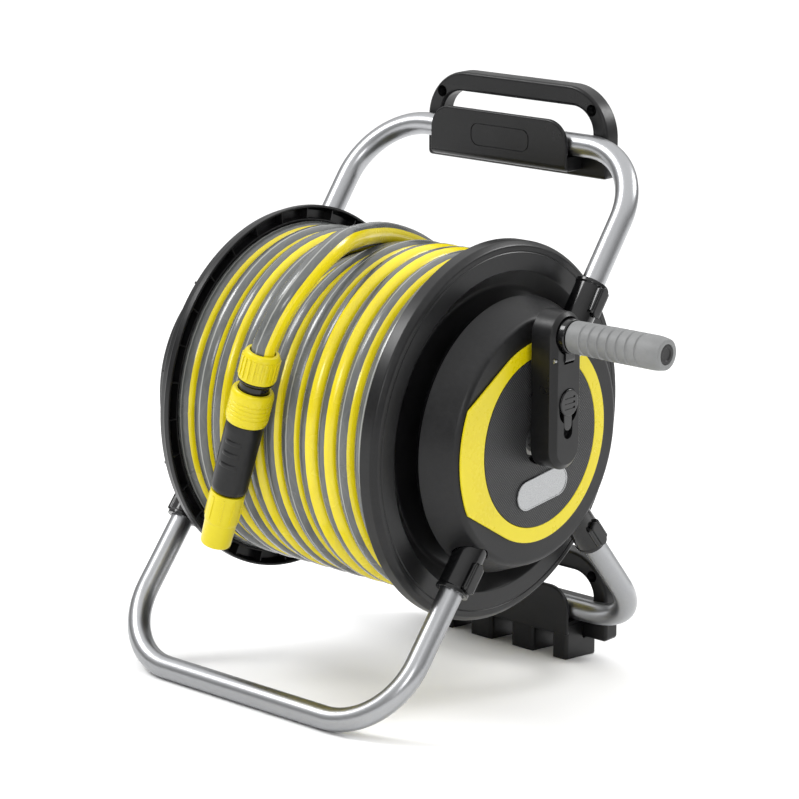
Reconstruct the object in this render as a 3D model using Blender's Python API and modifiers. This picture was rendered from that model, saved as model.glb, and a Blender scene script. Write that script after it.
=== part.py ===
"""A freestanding garden hose reel on three bent aluminium tubes, with a crank-driven drum.

Every size is in metres. The reel is drawn about its drum axis, which is the X axis of the empty
reel_datum, with the crank at +X and the front of the reel at -Y. reel_datum then lifts and tips the
whole reel onto the floor, where it stands on its front foot and on the hooks of its wall bracket.
"""

import math

import bmesh
import bpy
from mathutils import Matrix, Vector

# Stance
TIP = math.radians(6.0)
AXIS_HEIGHT = 0.2381
AXIS_MIDDLE = (-0.04725, -0.03386)
GAP = 0.0003

# Tubes
TUBE_RADIUS = 0.010
TUBE_WALL = 0.0015
TUBE_SIDES_RESOLUTION = 3
LEG_X = 0.154
BEND_RADIUS = 0.064
TUBE_INNER_END = 0.090
FOOT_REACH = 0.2745
TOP_REACH = 0.269
TOP_ANGLE = math.radians(52.4)
FRONT_ANGLE = math.radians(180 + 50.1)
REAR_ANGLE = math.radians(360 - 50.1)
LEG_ANGLES = {"top": TOP_ANGLE, "front": FRONT_ANGLE, "rear": REAR_ANGLE}

# Drum
FLANGE_RADIUS = 0.160
CORE_RADIUS = 0.085
LEFT_WEB = (-0.1135, -0.1105)
RIGHT_WEB = (0.112, 0.115)
SHAFT_RADIUS = 0.010
ROUND_STEPS = 36
HUB_STEPS = 28
FINE_STEPS = 18
SOCKET_STEPS = 14
SMALL_STEPS = 12

# Hose
HOSE_RADIUS = 0.010
PACK_RADIUS = 0.146
CHORD_ALLOWANCE = 0.0017
HOSE_LIFT = PACK_RADIUS + HOSE_RADIUS + GAP + CHORD_ALLOWANCE

# Hubs
HUB_FRAME_X = (0.133, 0.137)
HUB_FRAME_RADIUS = 0.113
SOCKET_RADIUS = 0.0135
SOCKET_END = 0.1445
COLLAR_START = 0.1040
SLEEVE_RADIUS = 0.0114
BUSH_OUTER = 0.0131
FACE_X = 0.1686

# Crank
ARM_X = (0.175, 0.199)
ARM_HALF_WIDTH = 0.0195
ARM_BEVEL = 0.005
CRANK_THROW = 0.093
GRIP_END_X = 0.296

# Brackets
PLATE_FRONT = 0.0102
PLATE_DEPTH = 0.018
CLIP_HALF_WIDTH = 0.076

# Hose connector and nozzle, as distances along their own axis
CONNECTOR_TOP = Vector((0.012, -0.161, 0.080))
CONNECTOR_END = Vector((-0.045, -0.168, -0.109))

MATERIALS = {
    "aluminium_tube": ((0.62, 0.62, 0.63), 0.28, 1.0),
    "black_matte": ((0.035, 0.035, 0.036), 0.55, 0.0),
    "black_gloss": ((0.012, 0.012, 0.013), 0.18, 0.0),
    "black_texture": ((0.045, 0.045, 0.046), 0.62, 0.0),
    "yellow_plastic": ((0.80, 0.70, 0.02), 0.38, 0.0),
    "grip_grey": ((0.30, 0.30, 0.30), 0.6, 0.0),
    "hose_grey": ((0.20, 0.20, 0.195), 0.35, 0.0),
    "badge_silver": ((0.60, 0.60, 0.60), 0.3, 0.8),
    "acetal_white": ((0.70, 0.70, 0.67), 0.4, 0.0),
    "seal_rubber": ((0.02, 0.02, 0.02), 0.75, 0.0),
    "steel": ((0.50, 0.50, 0.50), 0.3, 1.0),
}


def clear_scene():
    for obj in list(bpy.data.objects):
        bpy.data.objects.remove(obj, do_unlink=True)


def new_collection(name, hidden=False):
    collection = bpy.data.collections.new(name)
    bpy.context.scene.collection.children.link(collection)
    collection.hide_render = hidden
    return collection


def make_material(name):
    colour, roughness, metallic = MATERIALS[name]
    material = bpy.data.materials.new(name)
    material.use_nodes = True
    shader = material.node_tree.nodes["Principled BSDF"]
    shader.inputs["Base Color"].default_value = (*colour, 1.0)
    shader.inputs["Roughness"].default_value = roughness
    shader.inputs["Metallic"].default_value = metallic
    return material


def new_empty(name, parent=None, at=(0, 0, 0), rotation=(0, 0, 0)):
    empty = bpy.data.objects.new(name, None)
    empty.empty_display_size = 0.02
    parts.objects.link(empty)
    empty.parent = parent
    empty.location = at
    empty.rotation_euler = rotation
    return empty


def add_object(name, data, finish, parent):
    """Links a new object in the reel's own coordinates; finish None makes it a cutter or a joining shape."""
    obj = bpy.data.objects.new(name, data)
    (parts if finish else helpers).objects.link(obj)
    if finish:
        data.materials.append(materials[finish])
    else:
        obj.hide_render = True
        obj.display_type = "WIRE"
    obj.parent = parent
    return obj


def origin_of(parent):
    """The parent's place in the reel's own coordinates."""
    place = Vector((0, 0, 0))
    while parent is not None and parent is not datum:
        place += parent.location
        parent = parent.parent
    return place


def aim(obj, at, direction, parent, roll_up="Y"):
    """Stands the object's own Z axis along a direction, at a point in the reel's coordinates."""
    obj.location = Vector(at) - origin_of(parent)
    obj.rotation_euler = Vector(direction).to_track_quat("Z", roll_up).to_euler()
    return obj


def turned(name, profile, finish, parent, at=(0, 0, 0), direction=(1, 0, 0), steps=ROUND_STEPS):
    """A turned solid. The profile is a closed outline of (radius, distance along the axis)."""
    area = 0.0
    for (r0, a0), (r1, a1) in zip(profile, profile[1:] + profile[:1]):
        area += r0 * a1 - r1 * a0
    outline = profile if area < 0 else profile[::-1]
    mesh = bpy.data.meshes.new(name)
    shape = bmesh.new()
    points = [shape.verts.new((radius, 0, along)) for radius, along in outline]
    for start, end in zip(points, points[1:] + points[:1]):
        if max(start.co.x, end.co.x) > 0:
            shape.edges.new((start, end))
    shape.to_mesh(mesh)
    shape.free()
    obj = add_object(name, mesh, finish, parent)
    screw = obj.modifiers.new("Turn", "SCREW")
    screw.axis = "Z"
    screw.angle = math.tau
    screw.steps = steps
    screw.render_steps = steps
    screw.use_merge_vertices = True
    screw.merge_threshold = 0.00001
    screw.use_smooth_shade = True
    return aim(obj, at, direction, parent)


def rod(name, radius, start, end, finish, parent, steps=FINE_STEPS):
    """A plain cylinder between two points."""
    start = Vector(start)
    axis = Vector(end) - start
    mesh = bpy.data.meshes.new(name)
    shape = bmesh.new()
    bmesh.ops.create_cone(
        shape, cap_ends=True, segments=steps, radius1=radius, radius2=radius, depth=axis.length
    )
    bmesh.ops.translate(shape, verts=shape.verts, vec=(0, 0, axis.length / 2))
    shape.to_mesh(mesh)
    shape.free()
    return aim(add_object(name, mesh, finish, parent), start, axis, parent)


def block(name, low, high, finish, parent, turn=0.0):
    """A box between two corners, turned about the drum axis."""
    low, high = Vector(low), Vector(high)
    mesh = bpy.data.meshes.new(name)
    shape = bmesh.new()
    bmesh.ops.create_cube(shape, size=1.0)
    bmesh.ops.scale(shape, verts=shape.verts, vec=high - low)
    bmesh.ops.translate(shape, verts=shape.verts, vec=(high + low) / 2)
    bmesh.ops.rotate(shape, verts=shape.verts, matrix=Matrix.Rotation(turn, 3, "X"))
    bmesh.ops.translate(shape, verts=shape.verts, vec=-origin_of(parent))
    shape.to_mesh(mesh)
    shape.free()
    return add_object(name, mesh, finish, parent)


def arc(centre, radius, start, end, steps):
    """Points of an arc, in degrees."""
    points = []
    for step in range(steps + 1):
        angle = math.radians(start + (end - start) * step / steps)
        points.append((centre[0] + radius * math.cos(angle), centre[1] + radius * math.sin(angle)))
    return points


def circle(centre, radius, steps=16):
    return arc(centre, radius, 0, 360 - 360 / steps, steps - 1)


def slot(low, high, half_width, steps=8):
    """A slot along the second axis, round at both ends, between its two end centres."""
    lower = arc((low[0], low[1]), half_width, 180, 360, steps)
    return lower + arc((high[0], high[1]), half_width, 0, 180, steps)


def plate(name, outlines, depth, at, across, up, finish, parent):
    """A flat outline with its holes, made solid by an extrusion to both sides of the point it is drawn at."""
    curve = bpy.data.curves.new(name, "CURVE")
    curve.dimensions = "2D"
    curve.fill_mode = "BOTH"
    curve.extrude = depth / 2
    for outline in outlines:
        spline = curve.splines.new("POLY")
        spline.points.add(len(outline) - 1)
        for point, (u, v) in zip(spline.points, outline):
            point.co = (u, v, 0, 1)
        spline.use_cyclic_u = True
    guide = bpy.data.objects.new(name + "_outline", curve)
    helpers.objects.link(guide)
    bpy.context.view_layer.update()
    mesh = solid_mesh(name, guide)
    obj = add_object(name, mesh, finish, parent)
    across, up = Vector(across), Vector(up)
    frame = Matrix((across, up, across.cross(up))).transposed()
    obj.location = Vector(at) - origin_of(parent)
    obj.rotation_euler = frame.to_euler()
    return obj


def solid_mesh(name, guide):
    """The mesh of a curve, its caps welded, and the curve removed."""
    graph = bpy.context.evaluated_depsgraph_get()
    mesh = bpy.data.meshes.new_from_object(guide.evaluated_get(graph))
    mesh.name = name
    mesh.materials.clear()
    shape = bmesh.new()
    shape.from_mesh(mesh)
    bmesh.ops.remove_doubles(shape, verts=shape.verts, dist=0.000001)
    bmesh.ops.recalc_face_normals(shape, faces=shape.faces)
    shape.to_mesh(mesh)
    shape.free()
    bpy.data.objects.remove(guide, do_unlink=True)
    return mesh


def boolean(target, other, operation):
    modifier = target.modifiers.new(other.name, "BOOLEAN")
    modifier.operation = operation
    modifier.solver = "EXACT"
    modifier.object = other


def cut(target, *others):
    for other in others:
        boolean(target, other, "DIFFERENCE")


def unite(target, *others):
    for other in others:
        boolean(target, other, "UNION")


def radial(angle):
    return Vector((0, math.cos(angle), math.sin(angle)))


# The three bent tubes


def bent_tube(name, angle, reach):
    """A U of tube in the plane of the drum axis and one radial direction."""
    out = radial(angle)
    across = Vector((1, 0, 0))
    bend_steps = 5
    path = [out * TUBE_INNER_END - across * LEG_X]
    for side, angles in ((-1, range(bend_steps + 1)), (1, range(bend_steps, -1, -1))):
        corner = out * (reach - BEND_RADIUS) + across * side * (LEG_X - BEND_RADIUS)
        for step in angles:
            turn = math.pi / 2 * step / bend_steps
            sideways = across * side * BEND_RADIUS * math.cos(turn)
            path.append(corner + sideways + out * BEND_RADIUS * math.sin(turn))
    path.append(out * TUBE_INNER_END + across * LEG_X)
    guide = swept_curve(name, path, TUBE_RADIUS, TUBE_SIDES_RESOLUTION, capped=False)
    obj = add_object(name, solid_mesh(name, guide), "aluminium_tube", datum)
    wall = obj.modifiers.new("Wall", "SOLIDIFY")
    wall.thickness = TUBE_WALL
    wall.offset = -1
    obj.data.shade_smooth()
    return obj


def swept_curve(name, path, radius, resolution, capped):
    curve = bpy.data.curves.new(name, "CURVE")
    curve.dimensions = "3D"
    curve.bevel_depth = radius
    curve.bevel_resolution = resolution
    curve.use_fill_caps = capped
    spline = curve.splines.new("POLY")
    spline.points.add(len(path) - 1)
    for point, place in zip(spline.points, path):
        point.co = (*place, 1)
    guide = bpy.data.objects.new(name + "_path", curve)
    helpers.objects.link(guide)
    bpy.context.view_layer.update()
    return guide


# The fixed hubs at both ends of the drum


def hub(side_name, side):
    """One fixed hub: its frame with three tube sockets, its cover and its bearing bush; side is 1 or -1."""
    towards = (side, 0, 0)
    inner, outer = HUB_FRAME_X
    boss_end = 0.162
    frame = turned(
        side_name + "_hub_frame",
        [
            (BUSH_OUTER + GAP, inner - 0.002),
            (0.020, inner - 0.002),
            (0.020, inner),
            (HUB_FRAME_RADIUS, inner),
            (HUB_FRAME_RADIUS, outer),
            (0.020, outer),
            (0.020, boss_end),
            (BUSH_OUTER + GAP, boss_end),
        ],
        "black_gloss",
        datum,
        direction=towards,
        steps=HUB_STEPS,
    )
    leg_x = side * LEG_X
    across = Vector((leg_x, 0, 0))
    openings = []
    for leg, angle in LEG_ANGLES.items():
        out = radial(angle)
        label = f"{side_name}_{leg}"
        collar_ends = (across + out * COLLAR_START, across + out * SOCKET_END)
        collar = rod(label + "_collar", SOCKET_RADIUS, *collar_ends, None, datum, SOCKET_STEPS)
        sleeve_ends = (across + out * 0.060, across + out * 0.112)
        sleeve = rod(label + "_sleeve", SLEEVE_RADIUS, *sleeve_ends, None, datum, SOCKET_STEPS)
        saddle_x = sorted((side * (inner + 0.001), side * (LEG_X - 0.006)))
        saddle = block(
            label + "_saddle", (saddle_x[0], 0.058, -0.008), (saddle_x[1], 0.1115, 0.008), None, datum,
            turn=angle,
        )
        bore = rod(
            label + "_bore",
            TUBE_RADIUS + 0.0005,
            across + out * (TUBE_INNER_END - 0.001),
            across + out * (SOCKET_END + 0.010),
            None,
            datum,
            SOCKET_STEPS,
        )
        seat = latch_outline(label + "_seat", leg_x + side * 0.0119, side, out, 0.0004, 0.008, None)
        unite(frame, saddle, sleeve, collar)
        cut(frame, bore, seat)
        latch_pivot = new_empty(label + "_latch_slide", datum, across + out * 0.129)
        latch(label + "_latch", leg_x, side, out, latch_pivot)
        openings.append(
            rod(
                label + "_opening",
                SOCKET_RADIUS + 0.0007,
                across + out * (COLLAR_START - 0.0014),
                across + out * 0.135,
                None,
                datum,
                SOCKET_STEPS,
            )
        )
    cover = turned(
        side_name + "_hub_cover",
        [
            (0.1139, 0.1385),
            (0.1164, 0.1385),
            (0.1054, 0.1662),
            (0.1022, FACE_X),
            (0.0224, FACE_X),
            (0.0224, FACE_X - 0.0025),
            (0.1006, FACE_X - 0.0025),
            (0.1036, 0.1657),
        ],
        "black_matte",
        datum,
        direction=towards,
        steps=HUB_STEPS,
    )
    cut(cover, *openings)
    turned(
        side_name + "_bearing_bush",
        [
            (SHAFT_RADIUS + GAP, inner - 0.0045),
            (0.0185, inner - 0.0045),
            (0.0185, inner - 0.0023),
            (BUSH_OUTER, inner - 0.0023),
            (BUSH_OUTER, boss_end + 0.001),
            (SHAFT_RADIUS + GAP, boss_end + 0.001),
        ],
        "acetal_white",
        datum,
        direction=towards,
        steps=FINE_STEPS,
    )


LATCH_MIDDLE = 0.129
LATCH_HALF_LENGTH = 0.009
LATCH_HALF_WIDTH = 0.0045


def latch_outline(name, inner_x, side, out, margin, depth, finish, parent=None):
    """The long rounded shape of a socket latch, extruded away from the drum."""
    width = LATCH_HALF_WIDTH + margin
    outline = slot((0, -LATCH_HALF_LENGTH), (0, LATCH_HALF_LENGTH), width, 6)
    up = out
    across = up.cross(Vector((1, 0, 0)))
    place = out * LATCH_MIDDLE + Vector((inner_x + side * depth / 2, 0, 0))
    return plate(name, [outline], depth, place, across, up, finish, parent or datum)


def latch(name, leg_x, side, out, parent):
    return latch_outline(name, leg_x + side * 0.0134, side, out, 0.0, 0.0036, "black_gloss", parent)


def face_trim():
    """The patterned disc, the yellow ring around it and the blank badge, all on the crank side's cover."""
    disc_radius = 0.0722
    disc_x = FACE_X + GAP
    ring_outer = 0.0853
    bulge_radius = 0.1016
    bulge_half_angle = 25.5
    touch = math.degrees(math.acos(ring_outer / bulge_radius))
    clear_of_bulge = bulge_half_angle + touch
    outline = arc((0, 0), ring_outer, 180 + clear_of_bulge, 540 - clear_of_bulge, 26)
    outline += arc((0, 0), bulge_radius, 180 - bulge_half_angle, 180 + bulge_half_angle, 6)
    inner = circle((0, 0), disc_radius + GAP, 32)
    y_axis, z_axis = (0, 1, 0), (0, 0, 1)
    ring_depth = 0.0020
    plate(
        "yellow_face_ring",
        [outline, inner],
        ring_depth,
        (disc_x + ring_depth / 2, 0, 0),
        y_axis,
        z_axis,
        "yellow_plastic",
        datum,
    )
    disc_depth = 0.0022
    plate(
        "patterned_face_disc",
        [circle((0, 0), disc_radius, 32), circle((0, 0), 0.0190, 16)],
        disc_depth,
        (disc_x + disc_depth / 2, 0, 0),
        y_axis,
        z_axis,
        "black_texture",
        datum,
    )
    badge_tilt = math.radians(-6)
    badge_depth = 0.0012
    plate(
        "blank_badge",
        [slot((0, -0.020), (0, 0.020), 0.0125, 5)],
        badge_depth,
        (disc_x + disc_depth + GAP + badge_depth / 2, 0.0015, -0.0405),
        (0, -math.sin(badge_tilt), -math.cos(badge_tilt)),
        (0, math.cos(badge_tilt), -math.sin(badge_tilt)),
        "badge_silver",
        datum,
    )


# Carrying handle and wall bracket


def loop_plate(name, centre, finish):
    """The upright back plate whose upper half is a loop for the hand, with two counterbored screw holes."""
    half_width, bottom, top = 0.101, -0.030, 0.0485
    corner = 0.0440
    outer = arc((-half_width + 0.004, bottom + 0.004), 0.004, 180, 270, 3)
    outer += arc((half_width - 0.004, bottom + 0.004), 0.004, 270, 360, 3)
    outer += arc((half_width - corner, top - corner), corner, 0, 90, 6)
    outer += arc((-half_width + corner, top - corner), corner, 90, 180, 6)
    open_half_width, open_bottom, open_top = 0.085, 0.004, 0.0308
    inner_corner = 0.0265
    inner = [(-open_half_width, open_bottom), (open_half_width, open_bottom)]
    inner += arc((open_half_width - inner_corner, open_top - inner_corner), inner_corner, 0, 90, 4)
    inner += arc((-open_half_width + inner_corner, open_top - inner_corner), inner_corner, 90, 180, 4)
    hole_x, hole_z = 0.084, 0.0290
    holes = [circle((side * hole_x, hole_z), 0.00275, 8) for side in (-1, 1)]
    holes += [circle((side * SCREW_X, SCREW_Z), 0.0021, 8) for side in (-1, 1)]
    middle = centre + Vector((0, PLATE_FRONT + PLATE_DEPTH / 2, 0))
    back = plate(name, [outer, inner, *holes], PLATE_DEPTH, middle, (1, 0, 0), (0, 0, 1), finish, datum)
    front = centre.y + PLATE_FRONT
    for side in (-1, 1):
        wall_hole = (side * hole_x, centre.z + hole_z)
        clip_hole = (side * SCREW_X, centre.z + SCREW_Z)
        label = f"{name}_{'right' if side > 0 else 'left'}"
        sink = rod(
            label + "_sink",
            0.0052,
            (wall_hole[0], front - 0.002, wall_hole[1]),
            (wall_hole[0], front + 0.011, wall_hole[1]),
            None,
            datum,
            10,
        )
        head = rod(
            label + "_head_sink",
            0.0042,
            (clip_hole[0], front + PLATE_DEPTH - 0.004, clip_hole[1]),
            (clip_hole[0], front + PLATE_DEPTH + 0.002, clip_hole[1]),
            None,
            datum,
            10,
        )
        cut(back, sink, head)
    return back


SCREW_X = 0.055
SCREW_Z = -0.0185


def clip(name, centre, finish):
    """The front plate and the ledge under the tube, which the two screws draw against the back plate."""
    corner = 0.021
    bottom, top = -0.0232, 0.0215
    outline = [(-CLIP_HALF_WIDTH, bottom), (CLIP_HALF_WIDTH, bottom)]
    outline += arc((CLIP_HALF_WIDTH - corner, top - corner), corner, 0, 90, 4)
    outline += arc((-CLIP_HALF_WIDTH + corner, top - corner), corner, 90, 180, 4)
    front, back = -0.0152, -0.0104
    middle = centre + Vector((0, (front + back) / 2, 0))
    body = plate(name, [outline], back - front, middle, (1, 0, 0), (0, 0, 1), finish, datum)
    half = CLIP_HALF_WIDTH - 0.0001
    ledge = block(
        name + "_ledge",
        centre + Vector((-half, front + 0.002, bottom + 0.0001)),
        centre + Vector((half, PLATE_FRONT - GAP, -TUBE_RADIUS - 0.0005)),
        None,
        datum,
    )
    unite(body, ledge)
    for side in (-1, 1):
        thread = rod(
            f"{name}_thread_{'right' if side > 0 else 'left'}",
            0.0019,
            centre + Vector((side * SCREW_X, -0.006, SCREW_Z)),
            centre + Vector((side * SCREW_X, PLATE_FRONT + 0.002, SCREW_Z)),
            None,
            datum,
            8,
        )
        cut(body, thread)
    return body


def clip_screws(label, centre):
    """Two screws through the back plate into the ledge of the clip."""
    head_face = centre.y + PLATE_FRONT + PLATE_DEPTH - 0.0005
    for side, side_name in ((-1, "left"), (1, "right")):
        turned(
            f"{label}_{side_name}_screw",
            [(0, 0), (0.0036, 0), (0.0036, 0.0030), (0.0016, 0.0030), (0.0016, 0.0300), (0, 0.0312)],
            "steel",
            datum,
            at=(side * SCREW_X, head_face, centre.z + SCREW_Z),
            direction=(0, -1, 0),
            steps=8,
        )


def tube_middle(angle, reach):
    return radial(angle) * reach


def carrying_handle():
    centre = tube_middle(TOP_ANGLE, TOP_REACH)
    loop_plate("handle_loop", centre, "black_matte")
    clip("handle_clip", centre, "black_matte")
    clip_screws("handle", centre)


FINGERS = ((-0.0760, -0.0580), (-0.0380, -0.0105), (0.0105, 0.0380), (0.0580, 0.0760))


def wall_bracket():
    """The same loop and clip on the rear foot, with four fingers that hang accessories and reach the floor."""
    centre = tube_middle(REAR_ANGLE, FOOT_REACH)
    loop_plate("wall_bracket_loop", centre, "black_matte")
    body = clip("wall_bracket_clip", centre, "black_matte")
    front, ledge_back, back = -0.0150, PLATE_FRONT - GAP, PLATE_FRONT + PLATE_DEPTH
    under_plate = -0.0305
    web_bottom = -0.040

    def floor_at(depth):
        return (-AXIS_HEIGHT - (centre.y + depth) * math.sin(TIP)) / math.cos(TIP) - centre.z

    section = [(front, -0.0140), (ledge_back, -0.0140), (ledge_back, under_plate), (back, under_plate)]
    section += [(back, floor_at(back)), (front, floor_at(front))]
    for number, (left, right) in enumerate(FINGERS, 1):
        inset = 0.0002 if number in (1, len(FINGERS)) else 0.0
        left, right = left + inset, right - inset
        middle = centre + Vector(((left + right) / 2, 0, 0))
        finger = plate(f"finger_{number}", [section], right - left, middle, (0, 1, 0), (0, 0, 1), None, datum)
        unite(body, finger)
    web = block(
        "finger_web",
        centre + Vector((FINGERS[0][0] + 0.004, back - 0.0040, web_bottom)),
        centre + Vector((FINGERS[-1][1] - 0.004, back - 0.0002, under_plate - 0.0002)),
        None,
        datum,
    )
    unite(body, web)
    clip_screws("wall_bracket", centre)


# Drum


def drum(axis):
    left_outer, left_inner = LEFT_WEB
    right_inner, right_outer = RIGHT_WEB
    rim_wall = 0.0035
    turned(
        "left_flange",
        [
            (SHAFT_RADIUS + GAP, left_outer - 0.006),
            (0.022, left_outer - 0.006),
            (0.022, left_outer),
            (FLANGE_RADIUS - 0.001, left_outer),
            (FLANGE_RADIUS, left_outer + 0.001),
            (FLANGE_RADIUS, -0.1000),
            (FLANGE_RADIUS - rim_wall, -0.1000),
            (FLANGE_RADIUS - rim_wall, left_inner),
            (SHAFT_RADIUS + GAP, left_inner),
        ],
        "black_matte",
        axis,
    )
    face_x, skin = 0.1300, 0.003
    turned(
        "right_flange",
        [
            (SHAFT_RADIUS + GAP, right_inner - 0.014),
            (0.022, right_inner - 0.014),
            (0.022, right_inner),
            (0.1215, right_inner),
            (0.1330 + skin, face_x - skin),
            (FLANGE_RADIUS - rim_wall, face_x - skin),
            (FLANGE_RADIUS - rim_wall, 0.1145),
            (FLANGE_RADIUS, 0.1145),
            (FLANGE_RADIUS, face_x - 0.0015),
            (FLANGE_RADIUS - 0.0015, face_x),
            (0.1332, face_x),
            (0.1200, right_outer),
            (0.022, right_outer),
            (0.022, right_outer + 0.009),
            (SHAFT_RADIUS + GAP, right_outer + 0.009),
        ],
        "black_matte",
        axis,
    )
    core_start, core_end = left_inner + GAP, right_inner - GAP
    core_wall = 0.003
    core = turned(
        "drum_core",
        [
            (CORE_RADIUS - core_wall, core_start),
            (CORE_RADIUS, core_start),
            (CORE_RADIUS, core_end),
            (CORE_RADIUS - core_wall, core_end),
        ],
        "black_matte",
        axis,
    )
    hole = rod("hose_hole", 0.0100, (HOSE_TAIL_X, 0, 0.070), (HOSE_TAIL_X, 0, 0.100), None, axis, SMALL_STEPS)
    cut(core, hole)
    # A ring that opens towards the core, so that its volume is that of the wall of the wound hose
    coil_start, coil_end, coil_bore = core_start + 0.0008, core_end - 0.0008, CORE_RADIUS + 0.0006
    coil = turned(
        "hose_coil",
        [
            (coil_bore, coil_start),
            (PACK_RADIUS, coil_start),
            (PACK_RADIUS, coil_end),
            (coil_bore, coil_end),
            (coil_bore, coil_end - COIL_END_WALL),
            (PACK_RADIUS - COIL_WALL, coil_end - COIL_END_WALL),
            (PACK_RADIUS - COIL_WALL, coil_start + COIL_END_WALL),
            (coil_bore, coil_start + COIL_END_WALL),
        ],
        "hose_grey",
        axis,
    )
    start_room = block(
        "hose_start_room",
        (coil_start - 0.002, -TAIL_REACH - 0.006, CORE_RADIUS - 0.003),
        (HOSE_TAIL_X + 0.0105, 0.0110, TAIL_LEVEL + 0.0110),
        None,
        axis,
    )
    cut(coil, start_room)


HOSE_TAIL_X = -0.0985
TAIL_LEVEL = 0.0978
TAIL_REACH = 0.034
TAIL_DIRECTION = Vector((0, -0.980, -0.199))
COIL_WALL = 0.018
COIL_END_WALL = 0.0125


def water_path(axis):
    """The hollow left-hand axle carries the water in, and an arm inside the drum leads it to the hose tail."""
    inlet_x = -0.176
    bore = 0.0065
    closed_end = HOSE_TAIL_X + 0.0140
    collar_start = LEFT_WEB[1] + GAP
    shaft = turned(
        "water_axle",
        [
            (bore, inlet_x),
            (SHAFT_RADIUS, inlet_x),
            (SHAFT_RADIUS, collar_start),
            (0.0150, collar_start),
            (0.0150, closed_end),
            (0, closed_end),
            (0, closed_end - 0.004),
            (bore, closed_end - 0.004),
        ],
        "black_gloss",
        axis,
        steps=FINE_STEPS,
    )
    arm_end = 0.050
    arm_top = (HOSE_TAIL_X, 0, arm_end)
    bore_top = (HOSE_TAIL_X, 0, arm_end + 0.002)
    unite(shaft, rod("axle_arm", 0.0095, (HOSE_TAIL_X, 0, 0.010), arm_top, None, axis, SMALL_STEPS))
    cut(shaft, rod("axle_arm_bore", 0.0060, (HOSE_TAIL_X, 0, 0.002), bore_top, None, axis, 12))
    tail_at = (HOSE_TAIL_X, 0, arm_end + GAP)
    bend = Vector((HOSE_TAIL_X, 0, TAIL_LEVEL))
    riser = bend.z - tail_at[2]
    tail = turned(
        "hose_tail",
        [(0, 0), (0.0110, 0), (0.0110, 0.006), (0.0078, 0.008), (0.0078, riser + 0.0060), (0, riser + 0.0078)],
        "acetal_white",
        axis,
        at=tail_at,
        direction=(0, 0, 1),
        steps=SMALL_STEPS,
    )
    barb = turned(
        "hose_tail_barb",
        [(0, -0.004), (0.0074, -0.004), (0.0074, 0.008), (0.0082, 0.010), (0.0070, TAIL_REACH), (0, TAIL_REACH)],
        None,
        axis,
        at=bend,
        direction=TAIL_DIRECTION,
        steps=14,
    )
    unite(tail, barb)
    rise_bore = rod("tail_rise_bore", 0.0045, (HOSE_TAIL_X, 0, arm_end - 0.002), bend, None, axis, 10)
    bore_end = bend + TAIL_DIRECTION * (TAIL_REACH + 0.002)
    barb_bore = rod("tail_barb_bore", 0.0040, bend, bore_end, None, axis, 10)
    cut(tail, rise_bore, barb_bore)
    turned(
        "hose_clamp",
        [(0.0093, 0.014), (0.0102, 0.014), (0.0102, 0.022), (0.0093, 0.022)],
        "steel",
        axis,
        at=bend,
        direction=TAIL_DIRECTION,
        steps=SMALL_STEPS,
    )


def inlet(swivel):
    """The supply elbow on the left, which turns freely on the end of the hollow axle."""
    mouth = -0.1690
    elbow_x = -0.1890
    elbow = turned(
        "inlet_elbow",
        [
            (SHAFT_RADIUS + GAP, mouth),
            (0.0150, mouth),
            (0.0150, elbow_x - 0.012),
            (0, elbow_x - 0.012),
            (0, elbow_x - 0.008),
            (0.0065, elbow_x - 0.008),
            (0.0065, -0.1768),
            (SHAFT_RADIUS + GAP, -0.1768),
        ],
        "black_gloss",
        swivel,
        steps=FINE_STEPS,
    )
    spout_end = -0.048
    spout_ends = ((elbow_x, 0, -0.009), (elbow_x, 0, spout_end))
    bore_ends = ((elbow_x, 0, -0.002), (elbow_x, 0, spout_end - 0.002))
    unite(elbow, rod("elbow_spout", 0.0100, *spout_ends, None, swivel, SMALL_STEPS))
    cut(elbow, rod("elbow_bore", 0.0055, *bore_ends, None, swivel, 12))
    turned(
        "inlet_plug",
        [
            (0.0055, 0),
            (0.0125, 0),
            (0.0125, 0.004),
            (0.0085, 0.006),
            (0.0085, 0.020),
            (0.0070, 0.024),
            (0.0055, 0.024),
        ],
        "yellow_plastic",
        swivel,
        at=(elbow_x, 0, spout_end - GAP),
        direction=(0, 0, -1),
        steps=16,
    )
    turned(
        "axle_seal",
        [(0.0112, -0.1665), (0.0145, -0.1665), (0.0145, -0.1645), (0.0112, -0.1645)],
        "seal_rubber",
        datum,
        steps=16,
    )


# Crank


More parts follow.
